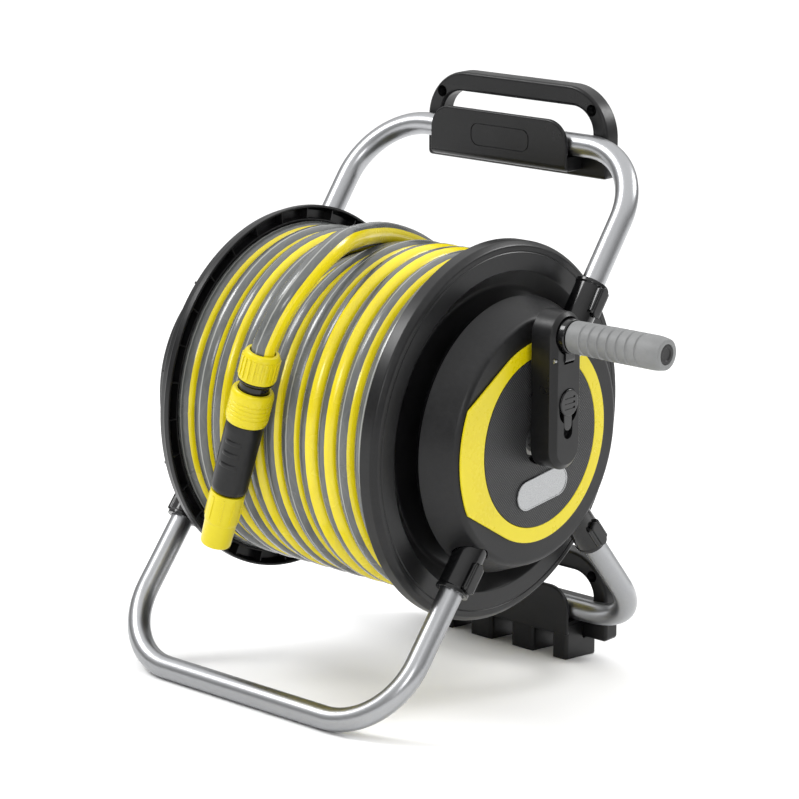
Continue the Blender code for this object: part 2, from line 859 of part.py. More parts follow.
def crank(axis):
    turned(
        "crank_shaft",
        [
            (0, RIGHT_WEB[0] - 0.014),
            (SHAFT_RADIUS, RIGHT_WEB[0] - 0.014),
            (SHAFT_RADIUS, 0.1690),
            (0.0085, 0.1705),
            (0.0085, 0.1900),
            (0, 0.1900),
        ],
        "steel",
        axis,
        steps=FINE_STEPS,
    )
    inner_x, outer_x = ARM_X
    outline = slot((0, 0), (0, CRANK_THROW), ARM_HALF_WIDTH, 10)
    side_depth = outer_x - inner_x - ARM_BEVEL
    arm = plate(
        "crank_arm", [outline], outer_x - inner_x, ((inner_x + outer_x) / 2, 0, 0), (0, 1, 0), (0, 0, 1),
        "black_matte", axis,
    )
    bevelled = bmesh.new()
    bevelled.from_mesh(arm.data)
    front = [edge for edge in bevelled.edges if all(v.co.z > side_depth / 2 for v in edge.verts) and edge.is_manifold]
    rim = [edge for edge in front if {round(face.normal.z) for face in edge.link_faces} == {0, 1}]
    bmesh.ops.bevel(bevelled, geom=rim, offset=ARM_BEVEL, segments=1, affect="EDGES")
    bevelled.to_mesh(arm.data)
    bevelled.free()
    shaft_seat = rod("shaft_seat", 0.0088, (inner_x - 0.002, 0, 0), (0.1903, 0, 0), None, axis, FINE_STEPS)
    recess_ends = ((0.1905, 0, CRANK_THROW), (0.2100, 0, CRANK_THROW))
    recess = rod("grip_recess", 0.0160, *recess_ends, None, axis, FINE_STEPS)
    fold_way = block(
        "fold_way", (0.1905, -LUG_HALF - GAP, PIN_Z - 0.0045), (0.2100, LUG_HALF + GAP, CRANK_THROW), None, axis
    )
    pin_bore = rod(
        "pin_bore", 0.0023, (PIN_X, -0.0175, PIN_Z), (PIN_X, 0.0175, PIN_Z), None, axis, 12
    )
    button_well = plate(
        "button_well",
        [slot((0, BUTTON_Z - BUTTON_TRAVEL), (0, BUTTON_Z), 0.0119, 7)],
        0.010,
        (0.1940 + 0.005, 0, 0),
        (0, 1, 0),
        (0, 0, 1),
        None,
        axis,
    )
    stem_well = plate(
        "stem_well",
        [slot((0, 0.0125), (0, BUTTON_Z), 0.0056, 4)],
        0.010,
        (0.1940 + 0.005, 0, 0),
        (0, 1, 0),
        (0, 0, 1),
        None,
        axis,
    )
    cut(arm, shaft_seat, recess, fold_way, pin_bore, button_well, stem_well)
    rod("grip_hinge_pin", 0.0020, (PIN_X, -0.0172, PIN_Z), (PIN_X, 0.0172, PIN_Z), "steel", axis, 12)


PIN_X = 0.1965
PIN_Z = CRANK_THROW - 0.0185
BUTTON_Z = 0.0375
BUTTON_TRAVEL = 0.006
LUG_HALF = 0.0060
LUG_RADIUS = 0.0039


def crank_button(slide):
    """The keyhole-shaped lock: a round ribbed pad with a stem that runs down its slot."""
    low_x, depth = 0.1943, 0.0062
    pad = plate(
        "crank_lock_button",
        [circle((0, BUTTON_Z), 0.0114, 16)],
        depth,
        (low_x + depth / 2, 0, 0),
        (0, 1, 0),
        (0, 0, 1),
        "black_gloss",
        slide,
    )
    stem_depth = depth - 0.0018
    stem = plate(
        "button_stem",
        [slot((0, 0.0190), (0, BUTTON_Z), 0.0051, 4)],
        stem_depth,
        (low_x + 0.0002 + stem_depth / 2, 0, 0),
        (0, 1, 0),
        (0, 0, 1),
        None,
        slide,
    )
    unite(pad, stem)
    for rib in (-1, 0, 1):
        height = BUTTON_Z + rib * 0.0045
        groove = block(
            f"button_groove_{rib + 2}",
            (low_x + depth - 0.0008, -0.0065, height - 0.0009),
            (low_x + depth + 0.0010, 0.0065, height + 0.0009),
            None,
            slide,
        )
        cut(pad, groove)


def grip(fold, spin):
    """The folding spindle in the arm, and the hand grip that turns on it."""
    base_x = 0.1911
    spindle = turned(
        "grip_spindle",
        [
            (0, base_x),
            (0.0130, base_x),
            (0.0145, base_x + 0.0030),
            (0.0145, 0.2040),
            (0.0050, 0.2040),
            (0.0050, 0.2800),
            (0.0072, 0.2805),
            (0.0072, 0.2840),
            (0, 0.2840),
        ],
        "black_gloss",
        fold,
        at=(0, 0, CRANK_THROW),
        steps=18,
    )
    lug_eye = rod("lug_eye", LUG_RADIUS, (PIN_X, -LUG_HALF, PIN_Z), (PIN_X, LUG_HALF, PIN_Z), None, fold, 16)
    lug_web = block(
        "lug_web",
        (PIN_X - LUG_RADIUS, -LUG_HALF + 0.0001, PIN_Z),
        (PIN_X + LUG_RADIUS, LUG_HALF - 0.0001, PIN_Z + 0.0110),
        None,
        fold,
    )
    unite(spindle, lug_eye, lug_web)
    cut(spindle, rod("lug_hole", 0.0023, (PIN_X, -0.0200, PIN_Z), (PIN_X, 0.0200, PIN_Z), None, fold, 12))
    turned(
        "hand_grip",
        [
            (0.0054, 0.2044),
            (0.0134, 0.2044),
            (0.0141, 0.2500),
            (0.0141, 0.2780),
            (0.0136, 0.2860),
            (0.0112, GRIP_END_X),
            (0.0084, GRIP_END_X),
            (0.0084, 0.2760),
            (0.0054, 0.2760),
        ],
        "grip_grey",
        spin,
        at=(0, 0, CRANK_THROW),
        steps=FINE_STEPS,
    )
    turned(
        "grip_end_cap",
        [(0, 0.2870), (0.0081, 0.2870), (0.0081, GRIP_END_X - 0.0003), (0, GRIP_END_X - 0.0003)],
        "black_matte",
        spin,
        at=(0, 0, CRANK_THROW),
        steps=16,
    )


# Hose end, connector and nozzle


def smooth_path(route, spacing):
    """Points at an even spacing along the Catmull-Rom curve through the route."""
    before = (route[0] - route[1]) * 3 + route[2]
    after = (route[-1] - route[-2]) * 3 + route[-3]
    ends = [before, *route, after]
    fine = []
    for p0, p1, p2, p3 in zip(ends, ends[1:], ends[2:], ends[3:]):
        for step in range(24):
            t = step / 24
            fine.append(
                (p1 * 2 + (p2 - p0) * t + (p0 * 2 - p1 * 5 + p2 * 4 - p3) * t * t
                 + (p1 * 3 - p0 - p2 * 3 + p3) * t**3) / 2
            )
    fine.append(route[-1])
    path, walked = [fine[0]], 0.0
    for start, end in zip(fine, fine[1:]):
        walked += (end - start).length
        if walked >= spacing:
            path.append(end)
            walked = 0.0
    if (path[-1] - fine[-1]).length < spacing / 2:
        path.pop()
    path.append(fine[-1])
    return path


def around(angle, radius, x):
    """A point at an angle that counts from the front over the top of the drum."""
    turn = math.radians(angle)
    return Vector((x, -radius * math.cos(turn), radius * math.sin(turn)))


# Where the hose stands clear of the drum, on its way down to the connector: angle, radius and x
HOSE_RISE = (
    (72.0, 0.1684, 0.0127),
    (61.2, 0.1804, 0.0271),
    (49.7, 0.1886, 0.0307),
    (38.3, 0.1897, 0.0246),
    (30.0, 0.1840, 0.0160),
)


def hose_end(axis):
    """The last part of the hose: over the back and top of the wound hose and down to the connector."""
    along = (CONNECTOR_END - CONNECTOR_TOP).normalized()
    end = CONNECTOR_TOP - along * GAP
    lying = (
        (232, 0.090), (205, 0.070), (180, 0.038), (155, 0.005), (135, -0.014), (115, -0.0200), (97, -0.0202),
    )
    route = [around(angle, HOSE_LIFT, x) for angle, x in lying]
    route += [around(87, 0.1590, -0.0150), around(79, 0.1630, -0.0030)]
    route += [around(angle, radius, x) for angle, radius, x in HOSE_RISE]
    route.append(end - along * 0.006)
    path = [*smooth_path(route, 0.020), end]
    guide = swept_curve("hose_free_end", path, HOSE_RADIUS, 2, capped=True)
    hose = add_object("hose_free_end", solid_mesh("hose_free_end", guide), "hose_grey", axis)
    hose.location = -origin_of(axis)


def along_nozzle(name, profile, finish, parent, steps=18):
    """A turned piece on the axis of the connector and nozzle."""
    direction = CONNECTOR_END - CONNECTOR_TOP
    return turned(name, profile, finish, parent, at=CONNECTOR_TOP, direction=direction, steps=steps)


def connector_and_nozzle(axis, sleeve_slide, tip_turn):
    along_nozzle(
        "hose_nut",
        [(0.0108, 0), (0.0140, 0), (0.0163, 0.003), (0.0163, 0.025), (0.0108, 0.025)],
        "yellow_plastic",
        axis,
    )
    along_nozzle(
        "connector_body",
        [
            (0.0070, 0.0253),
            (0.0152, 0.0253),
            (0.0128, 0.0280),
            (0.0128, 0.0610),
            (0.0105, 0.0630),
            (0.0070, 0.0630),
        ],
        "black_gloss",
        axis,
    )
    along_nozzle(
        "connector_sleeve",
        [
            (0.0133, 0.0345),
            (0.0172, 0.0345),
            (0.0182, 0.0375),
            (0.0182, 0.0620),
            (0.0172, 0.0640),
            (0.0133, 0.0640),
        ],
        "yellow_plastic",
        sleeve_slide,
    )
    along_nozzle(
        "nozzle_body",
        [
            (0, 0.0500),
            (0.0066, 0.0500),
            (0.0066, 0.0645),
            (0.0160, 0.0645),
            (0.0167, 0.0700),
            (0.0163, 0.1250),
            (0.0145, 0.1285),
            (0.0106, 0.1290),
            (0.0103, 0.1450),
            (0, 0.1450),
        ],
        "black_matte",
        axis,
    )
    along_nozzle(
        "nozzle_tip",
        [
            (0.0112, 0.1295),
            (0.0150, 0.1295),
            (0.0150, 0.1340),
            (0.0142, 0.1550),
            (0.0124, 0.1580),
            (0.0114, 0.1790),
            (0.0060, 0.1790),
            (0.0060, 0.1460),
            (0.0112, 0.1460),
        ],
        "yellow_plastic",
        tip_turn,
    )


clear_scene()
parts = new_collection("hose_reel_cart")
helpers = new_collection("cutters", hidden=True)
materials = {name: make_material(name) for name in MATERIALS}
datum = new_empty("reel_datum", at=(*AXIS_MIDDLE, AXIS_HEIGHT), rotation=(TIP, 0, 0))
drum_axis = new_empty("drum_axis", datum)
inlet_axis = new_empty("inlet_axis", datum, (-0.189, 0, 0), (-TIP, 0, 0))
button_slide = new_empty("crank_button_slide", drum_axis, (0.197, 0, BUTTON_Z))
grip_hinge = new_empty("grip_hinge", drum_axis, (PIN_X, 0, PIN_Z))
grip_axis = new_empty("grip_axis", grip_hinge, (0, 0, CRANK_THROW - PIN_Z))
sleeve_axis = new_empty("sleeve_axis", drum_axis, CONNECTOR_TOP)
tip_axis = new_empty("tip_axis", drum_axis, CONNECTOR_TOP)

bent_tube("front_foot_tube", FRONT_ANGLE, FOOT_REACH)
bent_tube("rear_foot_tube", REAR_ANGLE, FOOT_REACH)
bent_tube("top_tube", TOP_ANGLE, TOP_REACH)
hub("right", 1)
hub("left", -1)
face_trim()
carrying_handle()
wall_bracket()
drum(drum_axis)
water_path(drum_axis)
inlet(inlet_axis)
crank(drum_axis)
crank_button(button_slide)
grip(grip_hinge, grip_axis)
hose_end(drum_axis)
connector_and_nozzle(drum_axis, sleeve_axis, tip_axis)
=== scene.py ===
"""Looks of the garden hose reel: camera, hose, moulded pieces, finishes, floor and light.

Every piece is drawn in the reel's own coordinates, in metres: the origin on the drum's axis, X along it
towards the crank, -Y towards the front. DATUM then stands the piece on the floor with the CAD parts.
"""

import math

import bmesh
import bpy
from mathutils import Matrix, Vector
from mathutils.geometry import tessellate_polygon


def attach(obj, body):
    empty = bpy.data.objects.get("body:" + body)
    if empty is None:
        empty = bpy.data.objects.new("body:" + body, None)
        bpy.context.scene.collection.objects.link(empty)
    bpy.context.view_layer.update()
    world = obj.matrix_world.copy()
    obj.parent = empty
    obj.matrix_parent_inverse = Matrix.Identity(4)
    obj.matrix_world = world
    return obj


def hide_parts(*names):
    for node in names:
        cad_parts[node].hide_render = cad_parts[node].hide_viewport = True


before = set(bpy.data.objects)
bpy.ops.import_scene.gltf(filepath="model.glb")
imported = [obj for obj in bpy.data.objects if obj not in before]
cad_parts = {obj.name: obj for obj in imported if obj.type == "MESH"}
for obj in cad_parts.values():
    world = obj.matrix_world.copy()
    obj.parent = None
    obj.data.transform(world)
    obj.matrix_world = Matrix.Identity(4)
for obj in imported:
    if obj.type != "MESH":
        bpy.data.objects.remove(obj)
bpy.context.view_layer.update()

DATUM = Matrix.Translation((-0.04725, -0.03386, 0.2381)) @ Matrix.Rotation(math.radians(6.0), 4, "X")
X_AXIS, Y_AXIS, Z_AXIS = Vector((1, 0, 0)), Vector((0, 1, 0)), Vector((0, 0, 1))
GAP = 0.0003

TUBE_RADIUS = 0.01
TUBE_BORE = 0.0103
AXLE_BORE = 0.0103
LEG_X = 0.154
BEND_RADIUS = 0.064
FOOT_REACH = 0.2745
TOP_REACH = 0.269
LEG_ANGLES = {"top": 52.4, "front": 230.1, "rear": 309.9}
LEG_REACH = {"top": TOP_REACH, "front": FOOT_REACH, "rear": FOOT_REACH}

FLANGE_RADIUS = 0.16
CORE_RADIUS = 0.085
FACE_X = 0.1686
CRANK_THROW = 0.093
GRIP_END_X = 0.296
PIN_X, PIN_Z = 0.1965, CRANK_THROW - 0.0185
BUTTON_Z, BUTTON_TRAVEL = 0.0375, 0.006

CONNECTOR_TOP = Vector((0.012, -0.161, 0.08))
CONNECTOR_END = Vector((-0.045, -0.168, -0.109))
NOZZLE_AXIS = (CONNECTOR_END - CONNECTOR_TOP).normalized()


def place(name, data):
    """A new object with this data, in the scene."""
    obj = bpy.data.objects.new(name, data)
    bpy.context.scene.collection.objects.link(obj)
    return obj


def mesh_of(name, shape):
    """A mesh with a shape's faces; the shape is used up."""
    mesh = bpy.data.meshes.new(name)
    shape.to_mesh(mesh)
    shape.free()
    return mesh


# Camera


def make_camera():
    azimuth, elevation = math.radians(41.12), math.radians(14.77)
    back = Vector(
        (math.sin(azimuth) * math.cos(elevation), -math.cos(azimuth) * math.cos(elevation),
         math.sin(elevation))
    )
    right = Vector((math.cos(azimuth), math.sin(azimuth), 0))
    turn = Matrix((right, back.cross(right), back)).transposed().to_4x4()
    data = bpy.data.cameras.new("camera")
    data.sensor_width = 36
    data.lens = 134.3
    camera = place("camera", data)
    camera.matrix_world = DATUM @ Matrix.Translation((1.62995, -1.84724, 0.65503)) @ turn
    bpy.context.scene.camera = camera


# Finishes


def srgb(red, green, blue):
    """A linear colour from the 0 to 255 values of a swatch."""
    values = []
    for value in (red / 255, green / 255, blue / 255):
        values.append(value / 12.92 if value <= 0.04045 else ((value + 0.055) / 1.055) ** 2.4)
    return (*values, 1.0)


COAT_ROUGHNESS = 0.12


class Finish:
    """A node material under construction: a Principled shader and short ways to add nodes to it."""

    def __init__(self, name, colour, roughness, metallic=0.0, coat=0.0, specular=0.5):
        self.material = bpy.data.materials.new(name)
        self.material.use_nodes = True
        self.nodes = self.material.node_tree.nodes
        self.links = self.material.node_tree.links
        self.shader = self.nodes["Principled BSDF"]
        settings = {
            "Base Color": colour, "Roughness": roughness, "Metallic": metallic, "Coat Weight": coat,
            "Coat Roughness": COAT_ROUGHNESS, "Specular IOR Level": specular,
        }
        for socket, value in settings.items():
            self.shader.inputs[socket].default_value = value
        self.colour = colour
        self.roughness = roughness
        self.place = self.nodes.new("ShaderNodeTexCoord").outputs["Object"]

    def join(self, source, target):
        if isinstance(source, (int, float)):
            target.default_value = source
        else:
            self.links.new(source, target)

    def math(self, operation, first, second=0.0):
        node = self.nodes.new("ShaderNodeMath")
        node.operation = operation
        self.join(first, node.inputs[0])
        self.join(second, node.inputs[1])
        return node.outputs[0]

    def span(self, value, low, high, to_low=0.0, to_high=1.0):
        """value taken from low..high to to_low..to_high, smoothly and clamped."""
        node = self.nodes.new("ShaderNodeMapRange")
        node.interpolation_type = "SMOOTHSTEP"
        self.join(value, node.inputs["Value"])
        for name, number in (("From Min", low), ("From Max", high), ("To Min", to_low), ("To Max", to_high)):
            node.inputs[name].default_value = number
        return node.outputs["Result"]

    def noise(self, size, detail=3.0, stretch=None):
        node = self.nodes.new("ShaderNodeTexNoise")
        node.inputs["Scale"].default_value = 1 / size
        node.inputs["Detail"].default_value = detail
        source = self.place
        if stretch:
            mapping = self.nodes.new("ShaderNodeMapping")
            mapping.inputs["Scale"].default_value = stretch
            self.links.new(source, mapping.inputs["Vector"])
            source = mapping.outputs["Vector"]
        self.links.new(source, node.inputs["Vector"])
        return node.outputs["Fac"]

    def mix(self, amount, first, second):
        node = self.nodes.new("ShaderNodeMix")
        node.data_type = "RGBA"
        self.join(amount, node.inputs[0])
        for colour, socket in ((first, node.inputs[6]), (second, node.inputs[7])):
            if isinstance(colour, tuple):
                socket.default_value = colour
            else:
                self.links.new(colour, socket)
        return node.outputs[2]

    def bump(self, height, distance):
        node = self.nodes.new("ShaderNodeBump")
        node.inputs["Distance"].default_value = distance
        node.inputs["Strength"].default_value = 1.0
        self.links.new(height, node.inputs["Height"])
        if self.shader.inputs["Normal"].is_linked:
            self.links.new(self.shader.inputs["Normal"].links[0].from_socket, node.inputs["Normal"])
        self.links.new(node.outputs["Normal"], self.shader.inputs["Normal"])

    def paint(self, colour):
        self.links.new(colour, self.shader.inputs["Base Color"])

    def gloss(self, value):
        self.links.new(value, self.shader.inputs["Roughness"])

    def handled(self, lighter, spread=0.08):
        """Uneven gloss and a slight change of shade, as on a moulded piece that has been handled."""
        cloud = self.noise(0.045, 4.0)
        fine = self.noise(0.004, 2.0)
        both = self.math("ADD", self.math("MULTIPLY", cloud, 0.7), self.math("MULTIPLY", fine, 0.3))
        self.gloss(self.span(both, 0.3, 0.7, self.roughness - spread, self.roughness + spread))
        self.paint(self.mix(self.span(both, 0.35, 0.75), self.colour, lighter))

    def painted_edge_highlight(self, lighter):
        """Painted highlight: edges made paler than the faces, broken up by fine noise, standing in for the
        light that a moulding's corners catch.
        """
        edge = self.nodes.new("ShaderNodeNewGeometry").outputs["Pointiness"]
        highlight_speckle = self.noise(0.0015, 3.0)
        highlight_breakup = self.span(highlight_speckle, 0.35, 0.65, 0.25, 0.8)
        amount = self.math("MULTIPLY", self.span(edge, 0.515, 0.6), highlight_breakup)
        socket = self.shader.inputs["Base Color"]
        under = socket.links[0].from_socket if socket.is_linked else self.colour
        self.paint(self.mix(amount, under, lighter))


def shade(swatch):
    return srgb(*swatch) if isinstance(swatch, tuple) else srgb(swatch, swatch, swatch + 1)


def moulded(name, swatch, paler, roughness, grain_size, grain_depth, spread=0.08, **surface):
    """A moulded piece's finish; a swatch of one number is a black, which leans slightly towards blue."""
    colour, lighter = shade(swatch), shade(paler)
    finish = Finish(name, colour, roughness, **surface)
    finish.handled(lighter, spread)
    # painted highlight: edges paler than the faces
    finish.painted_edge_highlight(lighter)
    finish.bump(finish.noise(grain_size, 2.0), grain_depth)
    return finish.material


def aluminium():
    finish = Finish("aluminium_satin", srgb(158, 159, 161), 0.3, metallic=1.0)
    drawn = finish.noise(0.0008, 3.0, stretch=(0.1, 1.0, 1.0))
    cloud = finish.noise(0.05, 2.0)
    finish.gloss(finish.span(finish.math("ADD", drawn, cloud), 0.6, 1.4, 0.28, 0.32))
    finish.paint(finish.mix(finish.span(drawn, 0.2, 0.8), srgb(156, 157, 159), srgb(162, 163, 165)))
    finish.bump(drawn, 0.000002)
    return finish.material


def hose_rubber():
    """Grey hose with one broad yellow stripe, a hairline beside it and a faint reinforcing weave."""
    finish = Finish("hose_wall_striped", srgb(88, 90, 89), 0.26, coat=0.25)
    uv = finish.nodes.new("ShaderNodeUVMap")
    uv.uv_map = "hose"
    split = finish.nodes.new("ShaderNodeSeparateXYZ")
    finish.links.new(uv.outputs["UV"], split.inputs[0])
    round_hose, along = split.outputs[0], split.outputs[1]
    from_stripe = finish.math("ABSOLUTE", finish.math("SUBTRACT", round_hose, 0.5))
    stripe = finish.span(from_stripe, 0.113, 0.12, 1.0, 0.0)
    from_line = finish.math("ABSOLUTE", finish.math("SUBTRACT", round_hose, 0.27))
    line = finish.span(from_line, 0.006, 0.013, 1.0, 0.0)
    lay = finish.math("MULTIPLY", along, 260.0)
    turn = finish.math("MULTIPLY", round_hose, math.tau * 6)
    one_way = finish.math("SINE", finish.math("ADD", turn, lay))
    other_way = finish.math("SINE", finish.math("SUBTRACT", turn, lay))
    weave = finish.span(finish.math("MAXIMUM", one_way, other_way), 0.55, 1.0)
    cloud = finish.noise(0.03, 3.0)
    grey = finish.mix(finish.span(cloud, 0.3, 0.7), srgb(82, 84, 83), srgb(89, 91, 90))
    grey = finish.mix(finish.math("MULTIPLY", weave, 0.14), grey, srgb(112, 114, 112))
    grey = finish.mix(finish.math("MULTIPLY", line, 0.7), grey, srgb(160, 161, 157))
    yellow = finish.mix(finish.span(cloud, 0.3, 0.7), srgb(226, 206, 6), srgb(232, 213, 18))
    finish.paint(finish.mix(stripe, grey, yellow))
    finish.gloss(finish.span(finish.noise(0.02, 2.0), 0.3, 0.7, 0.2, 0.28))
    finish.bump(finish.noise(0.003, 2.0), 0.00002)
    return finish.material


def dotted():
    """Black moulding with a fine grid of raised dots."""
    finish = Finish("dotted_black", srgb(20, 20, 21), 0.42, specular=0.35)
    finish.handled(srgb(28, 28, 29))
    split = finish.nodes.new("ShaderNodeSeparateXYZ")
    finish.links.new(finish.place, split.inputs[0])
    pitch = 0.0026
    across = finish.math("SINE", finish.math("MULTIPLY", split.outputs[1], math.tau / pitch))
    upward = finish.math("SINE", finish.math("MULTIPLY", split.outputs[2], math.tau / pitch))
    dot = finish.span(finish.math("MULTIPLY", across, upward), 0.1, 0.6)
    under = finish.shader.inputs["Base Color"].links[0].from_socket
    finish.paint(finish.mix(dot, under, srgb(68, 69, 70)))
    finish.bump(dot, 0.0003)
    return finish.material


def brushed_silver():
    finish = Finish("badge_silver_brushed", srgb(158, 159, 160), 0.28, metallic=0.95)
    drawn = finish.noise(0.0005, 4.0, stretch=(1.0, 0.05, 1.0))
    finish.gloss(finish.span(drawn, 0.3, 0.7, 0.24, 0.3))
    finish.bump(drawn, 0.000002)
    return finish.material


def zinc_steel():
    finish = Finish("zinc_steel", srgb(176, 178, 182), 0.34, metallic=1.0)
    finish.gloss(finish.span(finish.noise(0.002, 4.0), 0.3, 0.7, 0.26, 0.46))
    finish.paint(finish.mix(finish.noise(0.006, 3.0), srgb(160, 162, 166), srgb(192, 193, 196)))
    return finish.material


make_camera()
LOOK = {
    "tube": aluminium(),
    "hose": hose_rubber(),
    "gloss": moulded("black_gloss", 7, 20, 0.15, 0.002, 0.000005, 0.04, coat=0.1, specular=0.36),
    "matte": moulded("black_matte", 9, 20, 0.34, 0.0009, 0.00003, specular=0.3),
    "grained": moulded("black_grained", 16, 29, 0.4, 0.001, 0.00008, specular=0.3),
    "deep": moulded("black_satin", 11, 23, 0.32, 0.0016, 0.000006, 0.02, specular=0.32),
    "dots": dotted(),
    "yellow": moulded(
        "yellow_plastic", (207, 190, 6), (212, 196, 20), 0.3, 0.0012, 0.000005, coat=0.05, specular=0.38
    ),
    "grip": moulded("grip_grey", (112, 113, 113), (124, 125, 125), 0.5, 0.001, 0.0001),
    "silver": brushed_silver(),
    "white": moulded("acetal_white", (214, 213, 205), (226, 225, 218), 0.4, 0.001, 0.00004),
    "rubber": moulded("seal_rubber", (34, 34, 34), (48, 48, 48), 0.7, 0.0008, 0.00008),
    "steel": zinc_steel(),
}


# Shapes


def rounded(outline, reach, steps=3):
    """The outline with each corner rounded off; a corner on the axis or with reach 0 stays sharp."""
    result = []
    count = len(outline)
    for index, corner in enumerate(outline):
        here = Vector(corner[:2])
        before = Vector(outline[index - 1][:2]) - here
        after = Vector(outline[(index + 1) % count][:2]) - here
        own = corner[2] if len(corner) > 2 else reach
        size = min(own, before.length * 0.45, after.length * 0.45)
        straight = before.length < 1e-7 or after.length < 1e-7 or before.angle(after) > math.radians(176)
        if size < 1e-6 or abs(here.x) < 1e-7 or straight:
            result.append((here.x, here.y))
            continue
        start = here + before.normalized() * size
        end = here + after.normalized() * size
        for step in range(steps + 1):
            t = step / steps
            point = start * (1 - t) ** 2 + here * 2 * t * (1 - t) + end * t * t
            result.append((point.x, point.y))
    return result


def rounded_off_axis(outline, reach):
    """The outline with each corner rounded off, wherever it crosses the axis."""
    shifted = [(u + 1, v) for u, v in outline]
    return [(u - 1, v) for u, v in rounded(shifted, reach)]


def arc(centre, radius, start, end, steps):
    """Points of an arc, in degrees."""
    points = []
    for step in range(steps + 1):
        angle = math.radians(start + (end - start) * step / steps)
        points.append((centre[0] + radius * math.cos(angle), centre[1] + radius * math.sin(angle)))
    return points


def circle(centre, radius, steps=48):
    return arc(centre, radius, 0, 360 - 360 / steps, steps - 1)


def slot(low, high, half_width, steps=14):
    return arc(low, half_width, 180, 360, steps) + arc(high, half_width, 0, 180, steps)


def radial(leg):
    angle = math.radians(LEG_ANGLES[leg])
    return Vector((0, math.cos(angle), math.sin(angle)))


def about_axis(angle):
    return Matrix.Rotation(angle, 4, "X")


def skin(shape, rings, cyclic=False):
    """Faces between rings of equally many points; a ring of one point closes the shape."""
    made = [[shape.verts.new(point) for point in ring] for ring in rings]
    for first, second in zip(made, made[1:] + made[:1] if cyclic else made[1:]):
        count = max(len(first), len(second))
        for index in range(count):
            nearer, further = index, (index + 1) % count
            corners = [
                first[nearer % len(first)],
                first[further % len(first)],
                second[further % len(second)],
                second[nearer % len(second)],
            ]
            corners = list(dict.fromkeys(corners))
            if len(corners) > 2:
                shape.faces.new(corners)
    return made


def ring_of(middle, side, other, radius, steps):
    """Points of a circle around the middle, in the plane of two directions."""
    turns = [math.tau * step / steps for step in range(steps)]
    return [middle + side * radius * math.cos(turn) + other * radius * math.sin(turn) for turn in turns]


def capped(shape, rings):
    """Faces between rings, with both ends closed."""
    made = skin(shape, rings)
    shape.faces.new(made[0][::-1])
    shape.faces.new(made[-1])
    return shape


def add_turned(shape, profile, at=(0, 0, 0), direction=X_AXIS, steps=72, corner=0.0008):
    """A turned solid from a closed outline of (radius, distance along the axis)."""
    axis = Vector(direction).normalized()
    side = axis.orthogonal().normalized()
    other = axis.cross(side)
    rings = []
    for radius, along in rounded(profile, corner):
        middle = Vector(at) + axis * along
        rings.append(ring_of(middle, side, other, radius, steps) if radius >= 1e-6 else [middle])
    skin(shape, rings, cyclic=True)
    return shape


def turned(profile, *where, **how):
    """A turned solid as a shape of its own."""
    return add_turned(bmesh.new(), profile, *where, **how)


def rectangle(half_width, half_height):
    return [
        (-half_width, -half_height), (half_width, -half_height), (half_width, half_height),
        (-half_width, half_height),
    ]


def signed_area(loop):
    total = 0.0
    for (x0, y0), (x1, y1) in zip(loop, loop[1:] + loop[:1]):
        total += x0 * y1 - x1 * y0
    return total


def inset(loop, distance):
    """The loop moved to its left by a distance, corner by corner."""
    result = []
    count = len(loop)
    for index in range(count):
        here = Vector(loop[index])
        before = (here - Vector(loop[index - 1])).normalized()
        after = (Vector(loop[(index + 1) % count]) - here).normalized()
        first, second = Vector((-before.y, before.x)), Vector((-after.y, after.x))
        middle = (first + second).normalized()
        point = here + middle * distance / max(0.4, middle.dot(first))
        result.append((point.x, point.y))
    return result


def add_plate(shape, outlines, depth, at=(0, 0, 0), across=Y_AXIS, up=Z_AXIS, edge=0.0008, steps=3):
    """A flat outline with holes, made solid about the point it is drawn at, with rounded rims."""
    across, up = Vector(across), Vector(up)
    away = across.cross(up)
    levels = []
    for step in range(steps, -1, -1):
        turn = math.pi / 2 * step / steps
        levels.append((edge * (1 - math.cos(turn)), depth / 2 - edge + edge * math.sin(turn)))
    levels += [(margin, -height) for margin, height in levels[::-1]]
    tops, bottoms, flat = [], [], []
    for number, outline in enumerate(outlines):
        pairs = zip(outline, outline[-1:] + outline[:-1])
        clean = [point for point, last in pairs if math.dist(point, last) > 1e-7]
        anticlockwise = signed_area(clean) > 0
        loop = clean if anticlockwise == (number == 0) else clean[::-1]
        rings = []
        for margin, height in levels:
            moved = inset(loop, margin)
            rings.append([Vector(at) + across * u + up * v + away * height for u, v in moved])
        made = skin(shape, rings)
        tops += made[0]
        bottoms += made[-1]
        flat.append([Vector((u, v, 0)) for u, v in inset(loop, edge)])
    for triangle in tessellate_polygon(flat):
        shape.faces.new([tops[index] for index in triangle])
        shape.faces.new([bottoms[index] for index in triangle][::-1])
    return shape


def plate(outlines, *where, **how):
    """A flat outline made solid, as a shape of its own."""
    return add_plate(bmesh.new(), outlines, *where, **how)


def add_box(shape, low, high, edge=0.0006, turn=None):
    """A box with rounded edges between two corners; turn is a matrix applied afterwards."""
    own = bmesh.new()
    low, high = Vector(low), Vector(high)
    size = high - low
    corner = min(edge, size.x * 0.45, size.y * 0.45, size.z * 0.45)
    outline = rounded_off_axis(rectangle(size.x / 2, size.y / 2), corner)
    add_plate(own, [outline], size.z, (low + high) / 2, X_AXIS, Y_AXIS, corner * 0.8, 2)
    return join_shape(shape, own, turn)


def box(low, high, *how):
    """A rounded box as a shape of its own."""
    return add_box(bmesh.new(), low, high, *how)


def join_shape(shape, other, turn=None):
    """Adds another shape's faces to a shape, and frees it."""
    if turn is not None:
        bmesh.ops.transform(other, matrix=turn, verts=other.verts)
    holder = mesh_of("joined", other)
    shape.from_mesh(holder)
    bpy.data.meshes.remove(holder)
    return shape


def heading(path, index):
    """The direction of a path at one of its points."""
    return (path[min(index + 1, len(path) - 1)] - path[max(index - 1, 0)]).normalized()


